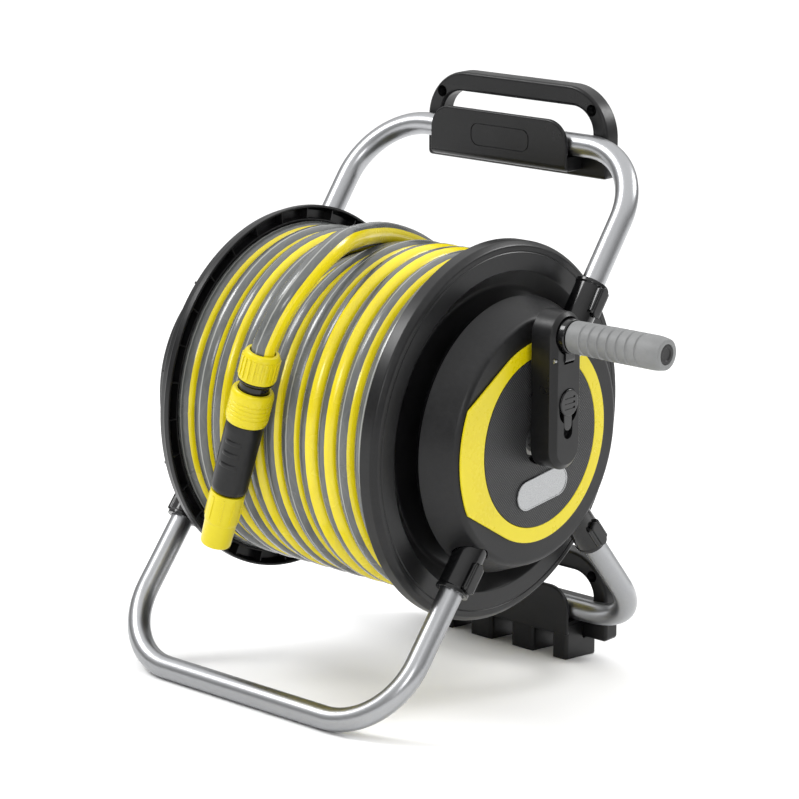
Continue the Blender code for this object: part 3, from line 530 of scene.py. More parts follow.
def tube(path, radius, sides, up):
    """A round tube along a path, whose crosswise directions turn as little as possible."""
    side = Vector(up)
    rings = []
    for index, point in enumerate(path):
        ahead = heading(path, index)
        side = (side - ahead * side.dot(ahead)).normalized()
        rings.append(ring_of(point, side, ahead.cross(side), radius, sides))
    return capped(bmesh.new(), rings)


def rod(start, end, radius, steps=32, corner=0.0):
    start = Vector(start)
    axis = Vector(end) - start
    profile = [(0, 0), (radius, 0), (radius, axis.length), (0, axis.length)]
    return turned(profile, start, axis, steps, corner)


def helper_object(shape):
    bmesh.ops.recalc_face_normals(shape, faces=shape.faces)
    return place("helper", mesh_of("helper", shape))


def combined(shape, others, operation="DIFFERENCE"):
    """The shape with the others cut out of it, or joined to it."""
    target = helper_object(shape)
    cutters = [helper_object(other) for other in others]
    for cutter in cutters:
        modifier = target.modifiers.new("Boolean", "BOOLEAN")
        modifier.operation = operation
        modifier.solver = "EXACT"
        modifier.object = cutter
    bpy.context.view_layer.update()
    mesh = bpy.data.meshes.new_from_object(target.evaluated_get(bpy.context.evaluated_depsgraph_get()))
    result = bmesh.new()
    result.from_mesh(mesh)
    for obj in (target, *cutters):
        bpy.data.objects.remove(obj, do_unlink=True)
    return result


def add_piece(name, shape, look, body, *stands_for, slot_name=None, sharp=38):
    """Turns a shape into a piece that rides a body of the frame."""
    bmesh.ops.recalc_face_normals(shape, faces=shape.faces)
    mesh = mesh_of(name, shape)
    mesh.transform(DATUM)
    mesh.materials.append(LOOK[look])
    mesh.shade_smooth()
    mesh.set_sharp_from_angle(angle=math.radians(sharp))
    obj = place(name, mesh)
    weighted = obj.modifiers.new("Normals", "WEIGHTED_NORMAL")
    weighted.keep_sharp = True
    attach(obj, body)
    if stands_for:
        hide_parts(*stands_for)
    return obj


# Hose

HOSE_RADIUS = 0.01
TURN_PITCH = 0.02005
FIRST_SLOT_X = -0.0995
LAYER_RADII = (0.0959, 0.1159, 0.136)
# The layers' slots in winding order; the middle layer leaves slot 4 empty, and the last turn sinks into it
LAYER_SLOTS = (
    tuple(range(11)),
    (10, 9, 8, 7, 6, 5, 3, 2, 1, 0),
    tuple(range(11)),
)
# Where the stripe faces on each turn of the outer layer, in degrees from straight out towards the crank
STRIPE_FACING = (82, 92, 70, 84, 64, 77, 87, 53, 57, 77, 87)
FREE_FACING = 98
# The stretch that leaves the winding: angle from the front over the top, radius and x
HOSE_LEAVING = (
    (250, 0.156, 0.092), (228, 0.1562, 0.077), (205, 0.1562, 0.05), (182, 0.1562, 0.018),
    (160, 0.155, -0.008), (145, 0.149, -0.016), (130, 0.1442, -0.0188), (118, 0.1438, -0.0193),
    (108, 0.1442, -0.0184), (98, 0.1462, -0.015), (89, 0.1494, -0.0083), (80, 0.1554, 0.0018),
)
HOSE_RISE = (
    (72.0, 0.1646, 0.0132), (61.2, 0.1804, 0.0271), (49.7, 0.1886, 0.0307), (38.3, 0.1897, 0.0246),
    (30.0, 0.184, 0.016),
)


def around(angle, radius, x):
    """A point at an angle that counts from the front over the top of the drum."""
    turn = math.radians(angle)
    return Vector((x, -radius * math.cos(turn), radius * math.sin(turn)))


def eased(share):
    share = min(1.0, max(0.0, share))
    return share * share * (3 - 2 * share)


# Turns of the outer layer that the free hose presses down at the crest: middle and reach in degrees, depth
CREST_DIPS = {(2, 4): (-7.0, 105.0, 0.0138), (2, 5): (6.0, 55.0, 0.0048)}


def winding():
    """Points of the wound turns, which run over the top towards the front, and where the stripe faces."""
    visits = [(layer, number) for layer, numbers in enumerate(LAYER_SLOTS) for number in numbers]
    points, facings = [], []
    step = 5.0
    start, end = 11.4, 360.0 * (len(visits) - 1) + 158.0
    count = int((end - start) / step)
    shift_start, shift_end = 185.0, 325.0
    for index in range(count + 1):
        travel = start + (end - start) * index / count
        turn = int((travel + (360.0 - shift_end)) // 360)
        within = travel - 360.0 * turn
        share = eased((within - shift_start) / (shift_end - shift_start))
        here, there = visits[turn], visits[min(turn + 1, len(visits) - 1)]
        radius = LAYER_RADII[here[0]] * (1 - share) + LAYER_RADII[there[0]] * share
        x = FIRST_SLOT_X + TURN_PITCH * (here[1] * (1 - share) + there[1] * share)
        lowered = 0.0
        for visit, weight in ((here, 1 - share), (there, share)):
            if visit in CREST_DIPS:
                middle, reach, depth = CREST_DIPS[visit]
                off = abs(within - middle - (0.0 if visit == here else 360.0)) / reach
                lowered += weight * depth * math.cos(math.pi / 2 * min(off, 1.0)) ** 2
        points.append(around(90 - travel, radius - lowered, x))
        facings.append(STRIPE_FACING[here[1]] * (1 - share) + STRIPE_FACING[there[1]] * share)
    return points, facings


def curve_through(route, spacing):
    """Evenly spaced points on the Catmull-Rom curve through the route."""
    ends = [(route[0] - route[1]) * 3 + route[2], *route, (route[-1] - route[-2]) * 3 + route[-3]]
    fine = []
    for p0, p1, p2, p3 in zip(ends, ends[1:], ends[2:], ends[3:]):
        for step in range(24):
            t = step / 24
            fine.append(
                (p1 * 2 + (p2 - p0) * t + (p0 * 2 - p1 * 5 + p2 * 4 - p3) * t * t
                 + (p1 * 3 - p0 - p2 * 3 + p3) * t**3) / 2
            )
    fine.append(route[-1])
    path, walked = [fine[0]], 0.0
    for first, second in zip(fine, fine[1:]):
        walked += (second - first).length
        if walked >= spacing:
            path.append(second)
            walked = 0.0
    if (path[-1] - fine[-1]).length < spacing / 2:
        path.pop()
    return [*path, fine[-1]]


def hose_route():
    """The whole path, from the drum's core to the nut, and where the stripe faces at each of its points."""
    coil, facings = winding()
    route = coil[-3:-1] + [around(*leave) for leave in HOSE_LEAVING + HOSE_RISE]
    route += [CONNECTOR_TOP - NOZZLE_AXIS * 0.006, CONNECTOR_TOP + NOZZLE_AXIS * 0.01]
    leaving = curve_through(route, 0.012)
    last = facings[-4]
    facings = facings[: len(coil) - 3]
    for index in range(len(leaving)):
        share = index / (len(leaving) - 1)
        facings.append(last + (FREE_FACING - last) * eased(share * 2.2))
    return coil[:-3] + leaving, facings


def hose_shape(path, facings, walked, sides=20):
    """The hose's skin, with a UV map of (share of the way round, metres along)."""
    shape = bmesh.new()
    uv_layer = shape.loops.layers.uv.new("hose")
    rings = []
    for index, (point, facing) in enumerate(zip(path, facings)):
        ahead = heading(path, index)
        out = Vector((0, point.y, point.z))
        out = (out - ahead * out.dot(ahead)).normalized()
        cross = ahead.cross(out)
        if cross.x < 0:
            cross = -cross
        ring = []
        for step in range(sides):
            turn = math.radians(facing) + math.tau * (step / sides - 0.5)
            ring.append(point + (out * math.cos(turn) + cross * math.sin(turn)) * HOSE_RADIUS)
        rings.append(ring)
    made = [[shape.verts.new(point) for point in ring] for ring in rings]
    for index, (nearer, further) in enumerate(zip(made, made[1:])):
        for step in range(sides):
            after = (step + 1) % sides
            face = shape.faces.new((nearer[step], nearer[after], further[after], further[step]))
            corners = ((step, index), (step + 1, index), (step + 1, index + 1), (step, index + 1))
            for loop, (turned_by, number) in zip(face.loops, corners):
                loop[uv_layer].uv = (turned_by / sides, walked[number])
    for ring in (made[0], made[-1]):
        middle = shape.verts.new(sum((vertex.co for vertex in ring), Vector()) / sides)
        for step in range(sides):
            shape.faces.new((ring[step], ring[(step + 1) % sides], middle))
    return shape


def make_hose():
    path, facings = hose_route()
    walked = [0.0]
    for first, second in zip(path, path[1:]):
        walked.append(walked[-1] + (second - first).length)
    shape = hose_shape(path, facings, walked)
    hose = add_piece("garden_hose", shape, "hose", "drum", "hose_coil", "hose_free_end", sharp=60)
    hose.modifiers.clear()


# Frame


def bent_tube(name, leg, node):
    out = radial(leg)
    reach = LEG_REACH[leg]
    inner_end = 0.091
    steps = 18
    path = [out * inner_end - X_AXIS * LEG_X]
    for side, order in ((-1, range(steps + 1)), (1, range(steps, -1, -1))):
        corner = out * (reach - BEND_RADIUS) + X_AXIS * side * (LEG_X - BEND_RADIUS)
        for step in order:
            turn = math.pi / 2 * step / steps
            bend = X_AXIS * side * math.cos(turn) + out * math.sin(turn)
            path.append(corner + bend * BEND_RADIUS)
    path.append(out * inner_end + X_AXIS * LEG_X)
    add_piece(name, tube(path, TUBE_RADIUS, 40, X_AXIS.cross(out)), "tube", "frame", node)


LATCH_MIDDLE = 0.129
LATCH_HALF_LENGTH = 0.009
SEAT_FLOOR_X = LEG_X + 0.0119
LATCH_BASE_X = LEG_X + 0.0134


def socket_collar(side, leg):
    """The open socket that holds one end of a tube, with the step that its latch sits in."""
    out = radial(leg)
    at = X_AXIS * side * LEG_X
    profile = [
        (TUBE_BORE, 0.1), (0.0132, 0.1), (0.0135, 0.106), (0.0135, 0.1405), (0.0142, 0.1415),
        (0.0142, 0.1445), (TUBE_BORE, 0.1445),
    ]
    collar = turned(profile, at, out, 48, 0.0006)
    low_x, high_x = sorted((side * (LEG_X + 0.0112), side * (LEG_X + 0.0163)))
    turn = about_axis(math.radians(LEG_ANGLES[leg]))
    housing = box((low_x, 0.117, -0.0072), (high_x, 0.1405, 0.0072), 0.0018, turn)
    collar = combined(collar, [housing], "UNION")
    outline = slot((0, -LATCH_HALF_LENGTH), (0, LATCH_HALF_LENGTH), 0.0049)
    depth = 0.008
    at = X_AXIS * side * (SEAT_FLOOR_X + depth / 2) + out * LATCH_MIDDLE
    return combined(collar, [plate([outline], depth, at, out.cross(X_AXIS), out, 0.0002, 1)])


def hub(side, label):
    sign = X_AXIS * side
    inner, outer, radius, boss_end, bore = 0.133, 0.137, 0.113, 0.162, 0.0134
    profile = [
        (bore, inner - 0.002), (0.02, inner - 0.002), (0.02, inner), (radius, inner), (radius, outer),
        (0.02, outer), (0.02, boss_end), (bore, boss_end),
    ]
    web = turned(profile, direction=sign, steps=96)
    add_piece(f"{label}_hub_plate", web, "gloss", "frame", f"{label}_hub_frame")
    cutters = []
    for leg in LEG_ANGLES:
        out = radial(leg)
        name = f"{label}_{leg}"
        at = X_AXIS * side * LEG_X
        add_piece(f"{name}_socket", socket_collar(side, leg), "gloss", "frame")
        turn = about_axis(math.radians(LEG_ANGLES[leg]))
        low_x, high_x = sorted((side * (outer + 0.0002), side * (LEG_X - 0.0125)))
        saddle = box((low_x, 0.06, -0.008), (high_x, 0.1115, 0.008), 0.0008, turn)
        sleeve = [(TUBE_BORE, 0.062), (0.0114, 0.062), (0.0114, 0.0998), (TUBE_BORE, 0.0998)]
        add_turned(saddle, sleeve, at, out, 40, 0.0003)
        add_piece(f"{name}_socket_root", saddle, "gloss", "frame")
        outline = slot((0, -LATCH_HALF_LENGTH), (0, LATCH_HALF_LENGTH), 0.0045)
        depth = 0.0036
        middle = X_AXIS * side * (LATCH_BASE_X + depth / 2) + out * LATCH_MIDDLE
        latch = plate([outline], depth, middle, out.cross(X_AXIS), out, 0.001, 4)
        press = f"{label}_{leg}_latch"
        add_piece(f"{name}_latch_button", latch, "deep", press, press, slot_name="hub_gloss")
        cutters.append(rod(at + out * 0.1014, at + out * 0.15, 0.0142, 40))
    profile = [
        (0.1139, 0.1385), (0.1164, 0.1385), (0.1054, 0.1662, 0.004), (0.1022, FACE_X, 0.003),
        (0.0224, FACE_X), (0.0224, FACE_X - 0.0025), (0.1006, FACE_X - 0.0025), (0.1036, 0.1657),
    ]
    shell = combined(turned(profile, direction=sign, steps=128, corner=0.0007), cutters)
    add_piece(f"{label}_hub_shell", shell, "grained", "frame", f"{label}_hub_cover")


def face_trim():
    disc_radius = 0.0722
    disc_x = FACE_X + GAP
    ring_outer, bulge_radius, bulge_half_angle = 0.0853, 0.1016, 25.5
    clear = bulge_half_angle + math.degrees(math.acos(ring_outer / bulge_radius))
    outline = arc((0, 0), ring_outer, 180 + clear, 540 - clear, 90)
    outline += arc((0, 0), bulge_radius, 180 - bulge_half_angle, 180 + bulge_half_angle, 24)
    hole = circle((0, 0), disc_radius + GAP, 120)
    ring = plate([outline, hole], 0.002, (disc_x + 0.001, 0, 0), edge=0.0006)
    add_piece("yellow_ring", ring, "yellow", "frame", "yellow_face_ring")
    outlines = [circle((0, 0), disc_radius, 120), circle((0, 0), 0.019, 48)]
    disc = plate(outlines, 0.0022, (disc_x + 0.0011, 0, 0), edge=0.0006)
    add_piece("dotted_disc", disc, "dots", "frame", "patterned_face_disc")
    tilt = math.radians(-6)
    up = Vector((0, math.cos(tilt), -math.sin(tilt)))
    across = Vector((0, -math.sin(tilt), -math.cos(tilt)))
    at = Vector((disc_x + 0.0022 + GAP, 0.0015, -0.0405))
    face = slot((0, -0.02), (0, 0.02), 0.0125, 24)
    badge = plate([face], 0.0008, at + X_AXIS * 0.0004, across, up, 0.0003)
    rim = [face, slot((0, -0.02), (0, 0.02), 0.0114, 24)]
    add_plate(badge, rim, 0.0005, at + X_AXIS * 0.00095, across, up, 0.0002, 2)
    add_piece("silver_badge", badge, "silver", "frame", "blank_badge")


# Handle and wall bracket

PLATE_FRONT, PLATE_DEPTH = 0.0102, 0.018
SCREW_X, SCREW_Z = 0.055, -0.0185
CLIP_HALF_WIDTH = 0.076


def panel(half_width, bottom, top, foot, foot_steps, shoulder, shoulder_steps):
    """An upright outline with small arcs at its bottom corners and large ones at its top corners."""
    outline = arc((-half_width + foot, bottom + foot), foot, 180, 270, foot_steps)
    outline += arc((half_width - foot, bottom + foot), foot, 270, 360, foot_steps)
    outline += arc((half_width - shoulder, top - shoulder), shoulder, 0, 90, shoulder_steps)
    outline += arc((-half_width + shoulder, top - shoulder), shoulder, 90, 180, shoulder_steps)
    return outline


def loop_plate(name, centre, node):
    """A tall plate with a wide opening to hold, two through holes and two screw holes."""
    outer = panel(0.101, -0.03, 0.0485, 0.004, 6, 0.044, 20)
    inner = panel(0.085, 0.004, 0.0308, 0.004, 5, 0.0225, 14)
    middle = centre + Y_AXIS * (PLATE_FRONT + PLATE_DEPTH / 2)
    shape = plate([outer, inner], PLATE_DEPTH, middle, X_AXIS, Z_AXIS, 0.003, 5)
    front = centre.y + PLATE_FRONT
    back = front + PLATE_DEPTH
    cutters = []
    for side in (-1, 1):
        hole = Vector((side * 0.084, 0, centre.z + 0.029))
        screw = Vector((side * SCREW_X, 0, centre.z + SCREW_Z))
        for at, start, end, radius, steps in (
            (hole, front - 0.004, front + 0.011, 0.0052, 32),
            (hole, front - 0.004, back + 0.004, 0.00275, 20),
            (screw, back - 0.004, back + 0.004, 0.0042, 24),
            (screw, front - 0.004, back + 0.004, 0.0021, 16),
        ):
            cutters.append(rod(at + Y_AXIS * start, at + Y_AXIS * end, radius, steps))
    add_piece(name, combined(shape, cutters), "matte", "frame", node)


def clip_shape(centre):
    """The front plate with the ledge that passes under the tube."""
    front, back, bottom = -0.0152, -0.0104, -0.0232
    middle = centre + Y_AXIS * (front + back) / 2
    outline = panel(CLIP_HALF_WIDTH, bottom, 0.0215, 0.003, 5, 0.021, 14)
    shape = plate([outline], back - front, middle, X_AXIS, Z_AXIS, 0.0018, 4)
    half = CLIP_HALF_WIDTH - 0.0012
    low = centre + Vector((-half, front + 0.0022, bottom + 0.0002))
    high = centre + Vector((half, PLATE_FRONT - GAP, -TUBE_RADIUS - 0.0005))
    return combined(shape, [box(low, high, 0.001)], "UNION")


def carrying_handle():
    centre = radial("top") * TOP_REACH
    loop_plate("handle_loop_shell", centre, "handle_loop")
    half_length, half_height, corner = 0.0325, 0.01, 0.0078
    recess_outline = []
    for u, v, start in ((1, -1, 270), (1, 1, 0), (-1, 1, 90), (-1, -1, 180)):
        middle = (u * (half_length - corner), v * (half_height - corner))
        recess_outline += arc(middle, corner, start, start + 90, 8)
    front, bottom, round_radius, beyond = -0.0152, -0.0232, 0.0065, 0.002
    groove_width = 0.0009
    groove = plate(
        [recess_outline, inset(recess_outline, groove_width)], 0.0018,
        centre + Vector((0.003, front, 0.0)), X_AXIS, Z_AXIS, 0.0001, 1,
    )
    edge = [(front - beyond, bottom - beyond), (front + round_radius, bottom - beyond)]
    edge += arc((front + round_radius, bottom + round_radius), round_radius, 270, 180, 12)
    edge.append((front - beyond, bottom + round_radius))
    rounding = plate([edge], 2.2 * CLIP_HALF_WIDTH, centre, Y_AXIS, Z_AXIS, 0.0001, 1)
    shape = combined(clip_shape(centre), [groove, rounding])
    add_piece("handle_clip_shell", shape, "matte", "frame", "handle_clip")


FINGERS = ((-0.076, -0.058), (-0.038, -0.0105), (0.0105, 0.038), (0.058, 0.076))


def wall_bracket():
    centre = radial("rear") * FOOT_REACH
    loop_plate("wall_bracket_loop_shell", centre, "wall_bracket_loop")
    floor = -DATUM.translation.z
    tip = math.radians(6.0)
    front, ledge_back, back = -0.015, PLATE_FRONT - GAP, PLATE_FRONT + PLATE_DEPTH
    under = -0.0305

    def floor_at(depth):
        return (floor - (centre.y + depth) * math.sin(tip)) / math.cos(tip) - centre.z

    shape = clip_shape(centre)
    section = [(front, -0.014), (ledge_back, -0.014), (ledge_back, under), (back, under)]
    section += [(back, floor_at(back)), (front, floor_at(front))]
    section = rounded_off_axis(section, 0.0015)
    additions = []
    for left, right in FINGERS:
        width = right - left - 0.0012
        middle = centre + X_AXIS * (left + right) / 2
        finger = plate([section], width, middle, Y_AXIS, Z_AXIS, 0.0012, 3)
        cutters = []
        for hand in (-1, 1):
            beyond, round_radius = 0.002, 0.0045
            side_x, inner_x = hand * (width / 2 + beyond), hand * (width / 2 - round_radius)
            corner = [(inner_x, front - beyond), (side_x, front - beyond), (side_x, front + round_radius)]
            angles = (0, -90) if hand > 0 else (180, 270)
            corner += arc((inner_x, front + round_radius), round_radius, *angles, 10)
            cutters.append(plate([corner], 0.2, middle, X_AXIS, Y_AXIS, 0.0001, 1))
        additions.append(combined(finger, cutters))
    low = centre + Vector((FINGERS[0][0] + 0.004, back - 0.004, -0.04))
    high = centre + Vector((FINGERS[-1][1] - 0.004, back - 0.0004, under - 0.0004))
    additions.append(box(low, high, 0.0006))
    shape = combined(shape, additions, "UNION")
    add_piece("wall_bracket_hooks", shape, "matte", "frame", "wall_bracket_clip")


# Drum


def drum():
    left_outer, left_inner, rim_wall = -0.1135, -0.1105, 0.0035
    rim_x = -0.1
    profile = [
        (AXLE_BORE, left_outer - 0.006), (0.022, left_outer - 0.006), (0.022, left_outer),
        (0.156, left_outer, 0.001), (0.1574, left_outer + 0.0012, 0.001),
        (0.1594, rim_x - 0.006, 0.001), (FLANGE_RADIUS, rim_x - 0.005, 0.0005), (FLANGE_RADIUS, rim_x),
        (FLANGE_RADIUS - 0.0022, rim_x), (FLANGE_RADIUS - 0.0022, rim_x - 0.003),
        (0.1555, left_inner, 0.001), (AXLE_BORE, left_inner),
    ]
    left = turned(profile, steps=160)
    ring_start, ring_end = left_inner - 0.0005, rim_x - 0.002
    inner_ring = [(0.1466, ring_start), (0.148, ring_start), (0.148, ring_end), (0.1466, ring_end)]
    add_turned(left, inner_ring, steps=160, corner=0.0004)
    rib_count = 30
    for number in range(rib_count):
        turn = about_axis(math.tau * (number + 0.5) / rib_count)
        add_box(left, (left_inner - 0.0005, -0.0006, 0.1476), (rim_x - 0.0025, 0.0006, 0.157), 0.0003, turn)
    outer_ribs = 12
    for number in range(outer_ribs):
        turn = about_axis(math.tau * (number + 0.5) / outer_ribs)
        low, high = (left_outer - 0.003, -0.0011, 0.0215), (left_outer + 0.0005, 0.0011, 0.155)
        add_box(left, low, high, 0.0005, turn)
    add_piece("left_flange_ribbed", left, "deep", "drum", "left_flange")

    web_inner, web_outer, face_x, wall = 0.112, 0.115, 0.13, 0.003
    profile = [
        (AXLE_BORE, web_inner - 0.014), (0.022, web_inner - 0.014), (0.022, web_inner),
        (0.1215, web_inner, 0.003), (0.133 + wall, face_x - wall, 0.002),
        (FLANGE_RADIUS - rim_wall, face_x - wall, 0.002), (FLANGE_RADIUS - rim_wall, 0.1145),
        (FLANGE_RADIUS, 0.1145), (FLANGE_RADIUS, face_x - 0.0042, 0.0012),
        (FLANGE_RADIUS - 0.0042, face_x - 0.0002, 0.0012), (0.1515, face_x - 0.0002, 0.0003),
        (0.1508, face_x - 0.0008, 0.0002), (0.15, face_x - 0.0002, 0.0003),
        (0.135, face_x - 0.0002, 0.0008), (0.12, web_outer, 0.004), (0.022, web_outer),
        (0.022, web_outer + 0.009), (AXLE_BORE, web_outer + 0.009),
    ]
    right = turned(profile, steps=160)
    add_piece("right_flange_dished", right, "deep", "drum", "right_flange")

    core_start, core_end = left_inner + GAP, web_inner - GAP
    profile = [
        (CORE_RADIUS - wall, core_start), (CORE_RADIUS, core_start), (CORE_RADIUS, core_end),
        (CORE_RADIUS - wall, core_end),
    ]
    core = turned(profile, steps=96)
    core = combined(core, [rod((-0.0985, 0, 0.07), (-0.0985, 0, 0.1), 0.01, 24)])
    add_piece("drum_barrel", core, "matte", "drum", "drum_core")


# Crank


def crank():
    inner_x, outer_x, half_width = 0.175, 0.199, 0.0195
    chamfer = 0.005
    shape = bmesh.new()
    outline = slot((0, 0), (0, CRANK_THROW), half_width, 28)
    levels = [
        (0.0008, inner_x), (0.0, inner_x + 0.0008), (0.0, outer_x - chamfer),
        (0.0006, outer_x - chamfer + 0.0012), (chamfer - 0.0006, outer_x - 0.0008),
        (chamfer + 0.0006, outer_x),
    ]
    rings = []
    for margin, x in levels:
        rings.append([Vector((x, u, v)) for u, v in inset(outline, margin)])
    capped(shape, rings)
    cutters = [
        rod((inner_x - 0.002, 0, 0), (0.1903, 0, 0), 0.0088),
        rod((0.1905, 0, CRANK_THROW), (0.21, 0, CRANK_THROW), 0.016, 48),
    ]
    cutters.append(box((0.1905, -0.0063, PIN_Z - 0.0045), (0.21, 0.0063, CRANK_THROW), 0.0003))
    cutters.append(rod((PIN_X, -0.0175, PIN_Z), (PIN_X, 0.0175, PIN_Z), 0.0023, 16))
    well_depth = 0.01
    button_well = slot((0, BUTTON_Z - BUTTON_TRAVEL), (0, BUTTON_Z), 0.0119, 20)
    stem_well = slot((0, 0.0125), (0, BUTTON_Z), 0.0056, 14)
    well_middle = (0.194 + well_depth / 2, 0, 0)
    for well in (button_well, stem_well):
        cutters.append(plate([well], well_depth, well_middle, edge=0.0002, steps=1))
    add_piece("crank_arm_shell", combined(shape, cutters), "matte", "drum", "crank_arm")

    low_x, depth = 0.1943, 0.0062
    at = (low_x + depth / 2, 0, 0)
    button = plate([circle((0, BUTTON_Z), 0.0114, 40)], depth, at, edge=0.001, steps=4)
    stem_depth = depth - 0.0018
    at = (low_x + 0.0002 + stem_depth / 2, 0, 0)
    stem = plate([slot((0, 0.019), (0, BUTTON_Z), 0.0051, 12)], stem_depth, at, edge=0.0006)
    button = combined(button, [stem], "UNION")
    grooves = []
    for rib in (-1, 0, 1):
        height = BUTTON_Z + rib * 0.0045
        low = (low_x + depth - 0.0009, -0.0068, height - 0.0009)
        grooves.append(box(low, (low_x + depth + 0.001, 0.0068, height + 0.0009), 0.0002))
    button = combined(button, grooves)
    add_piece("crank_lock_knob", button, "gloss", "lock_button", "crank_lock_button")


def grip():
    base_x = 0.1911
    at = (0, 0, CRANK_THROW)
    profile = [
        (0, base_x), (0.013, base_x), (0.0145, base_x + 0.003), (0.0145, 0.204, 0.0015),
        (0.005, 0.204), (0.005, 0.28), (0.0072, 0.2805), (0.0072, 0.284), (0, 0.284),
    ]
    spindle = turned(profile, at, steps=56)
    eye = rod((PIN_X, -0.006, PIN_Z), (PIN_X, 0.006, PIN_Z), 0.0039, 28)
    web = box((PIN_X - 0.0039, -0.0059, PIN_Z), (PIN_X + 0.0039, 0.0059, PIN_Z + 0.011), 0.0003)
    spindle = combined(spindle, [eye, web], "UNION")
    spindle = combined(spindle, [rod((PIN_X, -0.02, PIN_Z), (PIN_X, 0.02, PIN_Z), 0.0023, 16)])
    add_piece("grip_spindle_turned", spindle, "gloss", "spindle", "grip_spindle")
    profile = [(0.0054, 0.2044), (0.013, 0.2044), (0.0134, 0.2058)]
    groove_count, first, pitch = 7, 0.219, 0.0092
    for number in range(groove_count):
        x = first + number * pitch
        radius = 0.0134 + 0.0007 * min(1.0, (x - 0.2044) / 0.045)
        profile += [
            (radius, x - 0.0013, 0.0004), (radius - 0.0011, x - 0.0006, 0.0003),
            (radius - 0.0011, x + 0.0006, 0.0003), (radius, x + 0.0013, 0.0004),
        ]
    profile += [
        (0.0141, 0.285, 0.002), (0.0139, 0.289, 0.002), (0.0127, GRIP_END_X, 0.0012), (0.0084, GRIP_END_X),
        (0.0084, 0.276), (0.0054, 0.276),
    ]
    add_piece("hand_grip_ringed", turned(profile, at, corner=0.0005), "grip", "grip", "hand_grip")
    cap = [
        (0, 0.287), (0.0081, 0.287), (0.0081, GRIP_END_X - 0.0003), (0.0052, GRIP_END_X - 0.0003, 0.0004),
        (0.0048, GRIP_END_X - 0.0011, 0.0004), (0, GRIP_END_X - 0.0011),
    ]
    cap = turned(cap, at, steps=48, corner=0.0004)
    add_piece("grip_cap_dished", cap, "deep", "grip", "grip_end_cap")


# Connector and nozzle


def along_nozzle(profile, steps=64, corner=0.0006):
    return turned(profile, CONNECTOR_TOP, NOZZLE_AXIS, steps, corner)


def add_ribs(shape, count, radius, start, end, width, height):
    """Ridges along the nozzle's axis, evenly spaced around it."""
    side = NOZZLE_AXIS.orthogonal().normalized()
    other = NOZZLE_AXIS.cross(side)
    for number in range(count):
        turn = math.tau * number / count
        out = side * math.cos(turn) + other * math.sin(turn)
        across = NOZZLE_AXIS.cross(out)
        middle = CONNECTOR_TOP + NOZZLE_AXIS * (start + end) / 2 + out * (radius + height / 2 - 0.0004)
        outline = rectangle(width / 2, (end - start) / 2)
        add_plate(shape, [outline], height + 0.0008, middle, across, NOZZLE_AXIS, min(width, height) * 0.3, 2)
    return shape


def add_grip_bars(shape, radius, places):
    """Short raised bars across the nozzle, one column in front and one behind."""
    front = Vector((0.3, -0.92, 0.0))
    front = (front - NOZZLE_AXIS * front.dot(NOZZLE_AXIS)).normalized()
    half_angle, height, half_width = 34, 0.0013, 0.0019
    section = ((-0.6, -1), (0.7, -1), (1.0, -0.6), (1.0, 0.6), (0.7, 1), (-0.6, 1))
    for facing in (front, -front):
        across = NOZZLE_AXIS.cross(facing)
        for along in places:
            rings = []
            for step in range(-8, 9):
                turn = math.radians(half_angle) * step / 8
                out = facing * math.cos(turn) + across * math.sin(turn)
                lift = height * (1 - (abs(step) / 8) ** 4) + 0.0001
                middle = CONNECTOR_TOP + NOZZLE_AXIS * along
                ring = []
                for up, onward in section:
                    ring.append(middle + out * (radius + lift * up) + NOZZLE_AXIS * half_width * onward)
                rings.append(ring)
            capped(shape, rings)


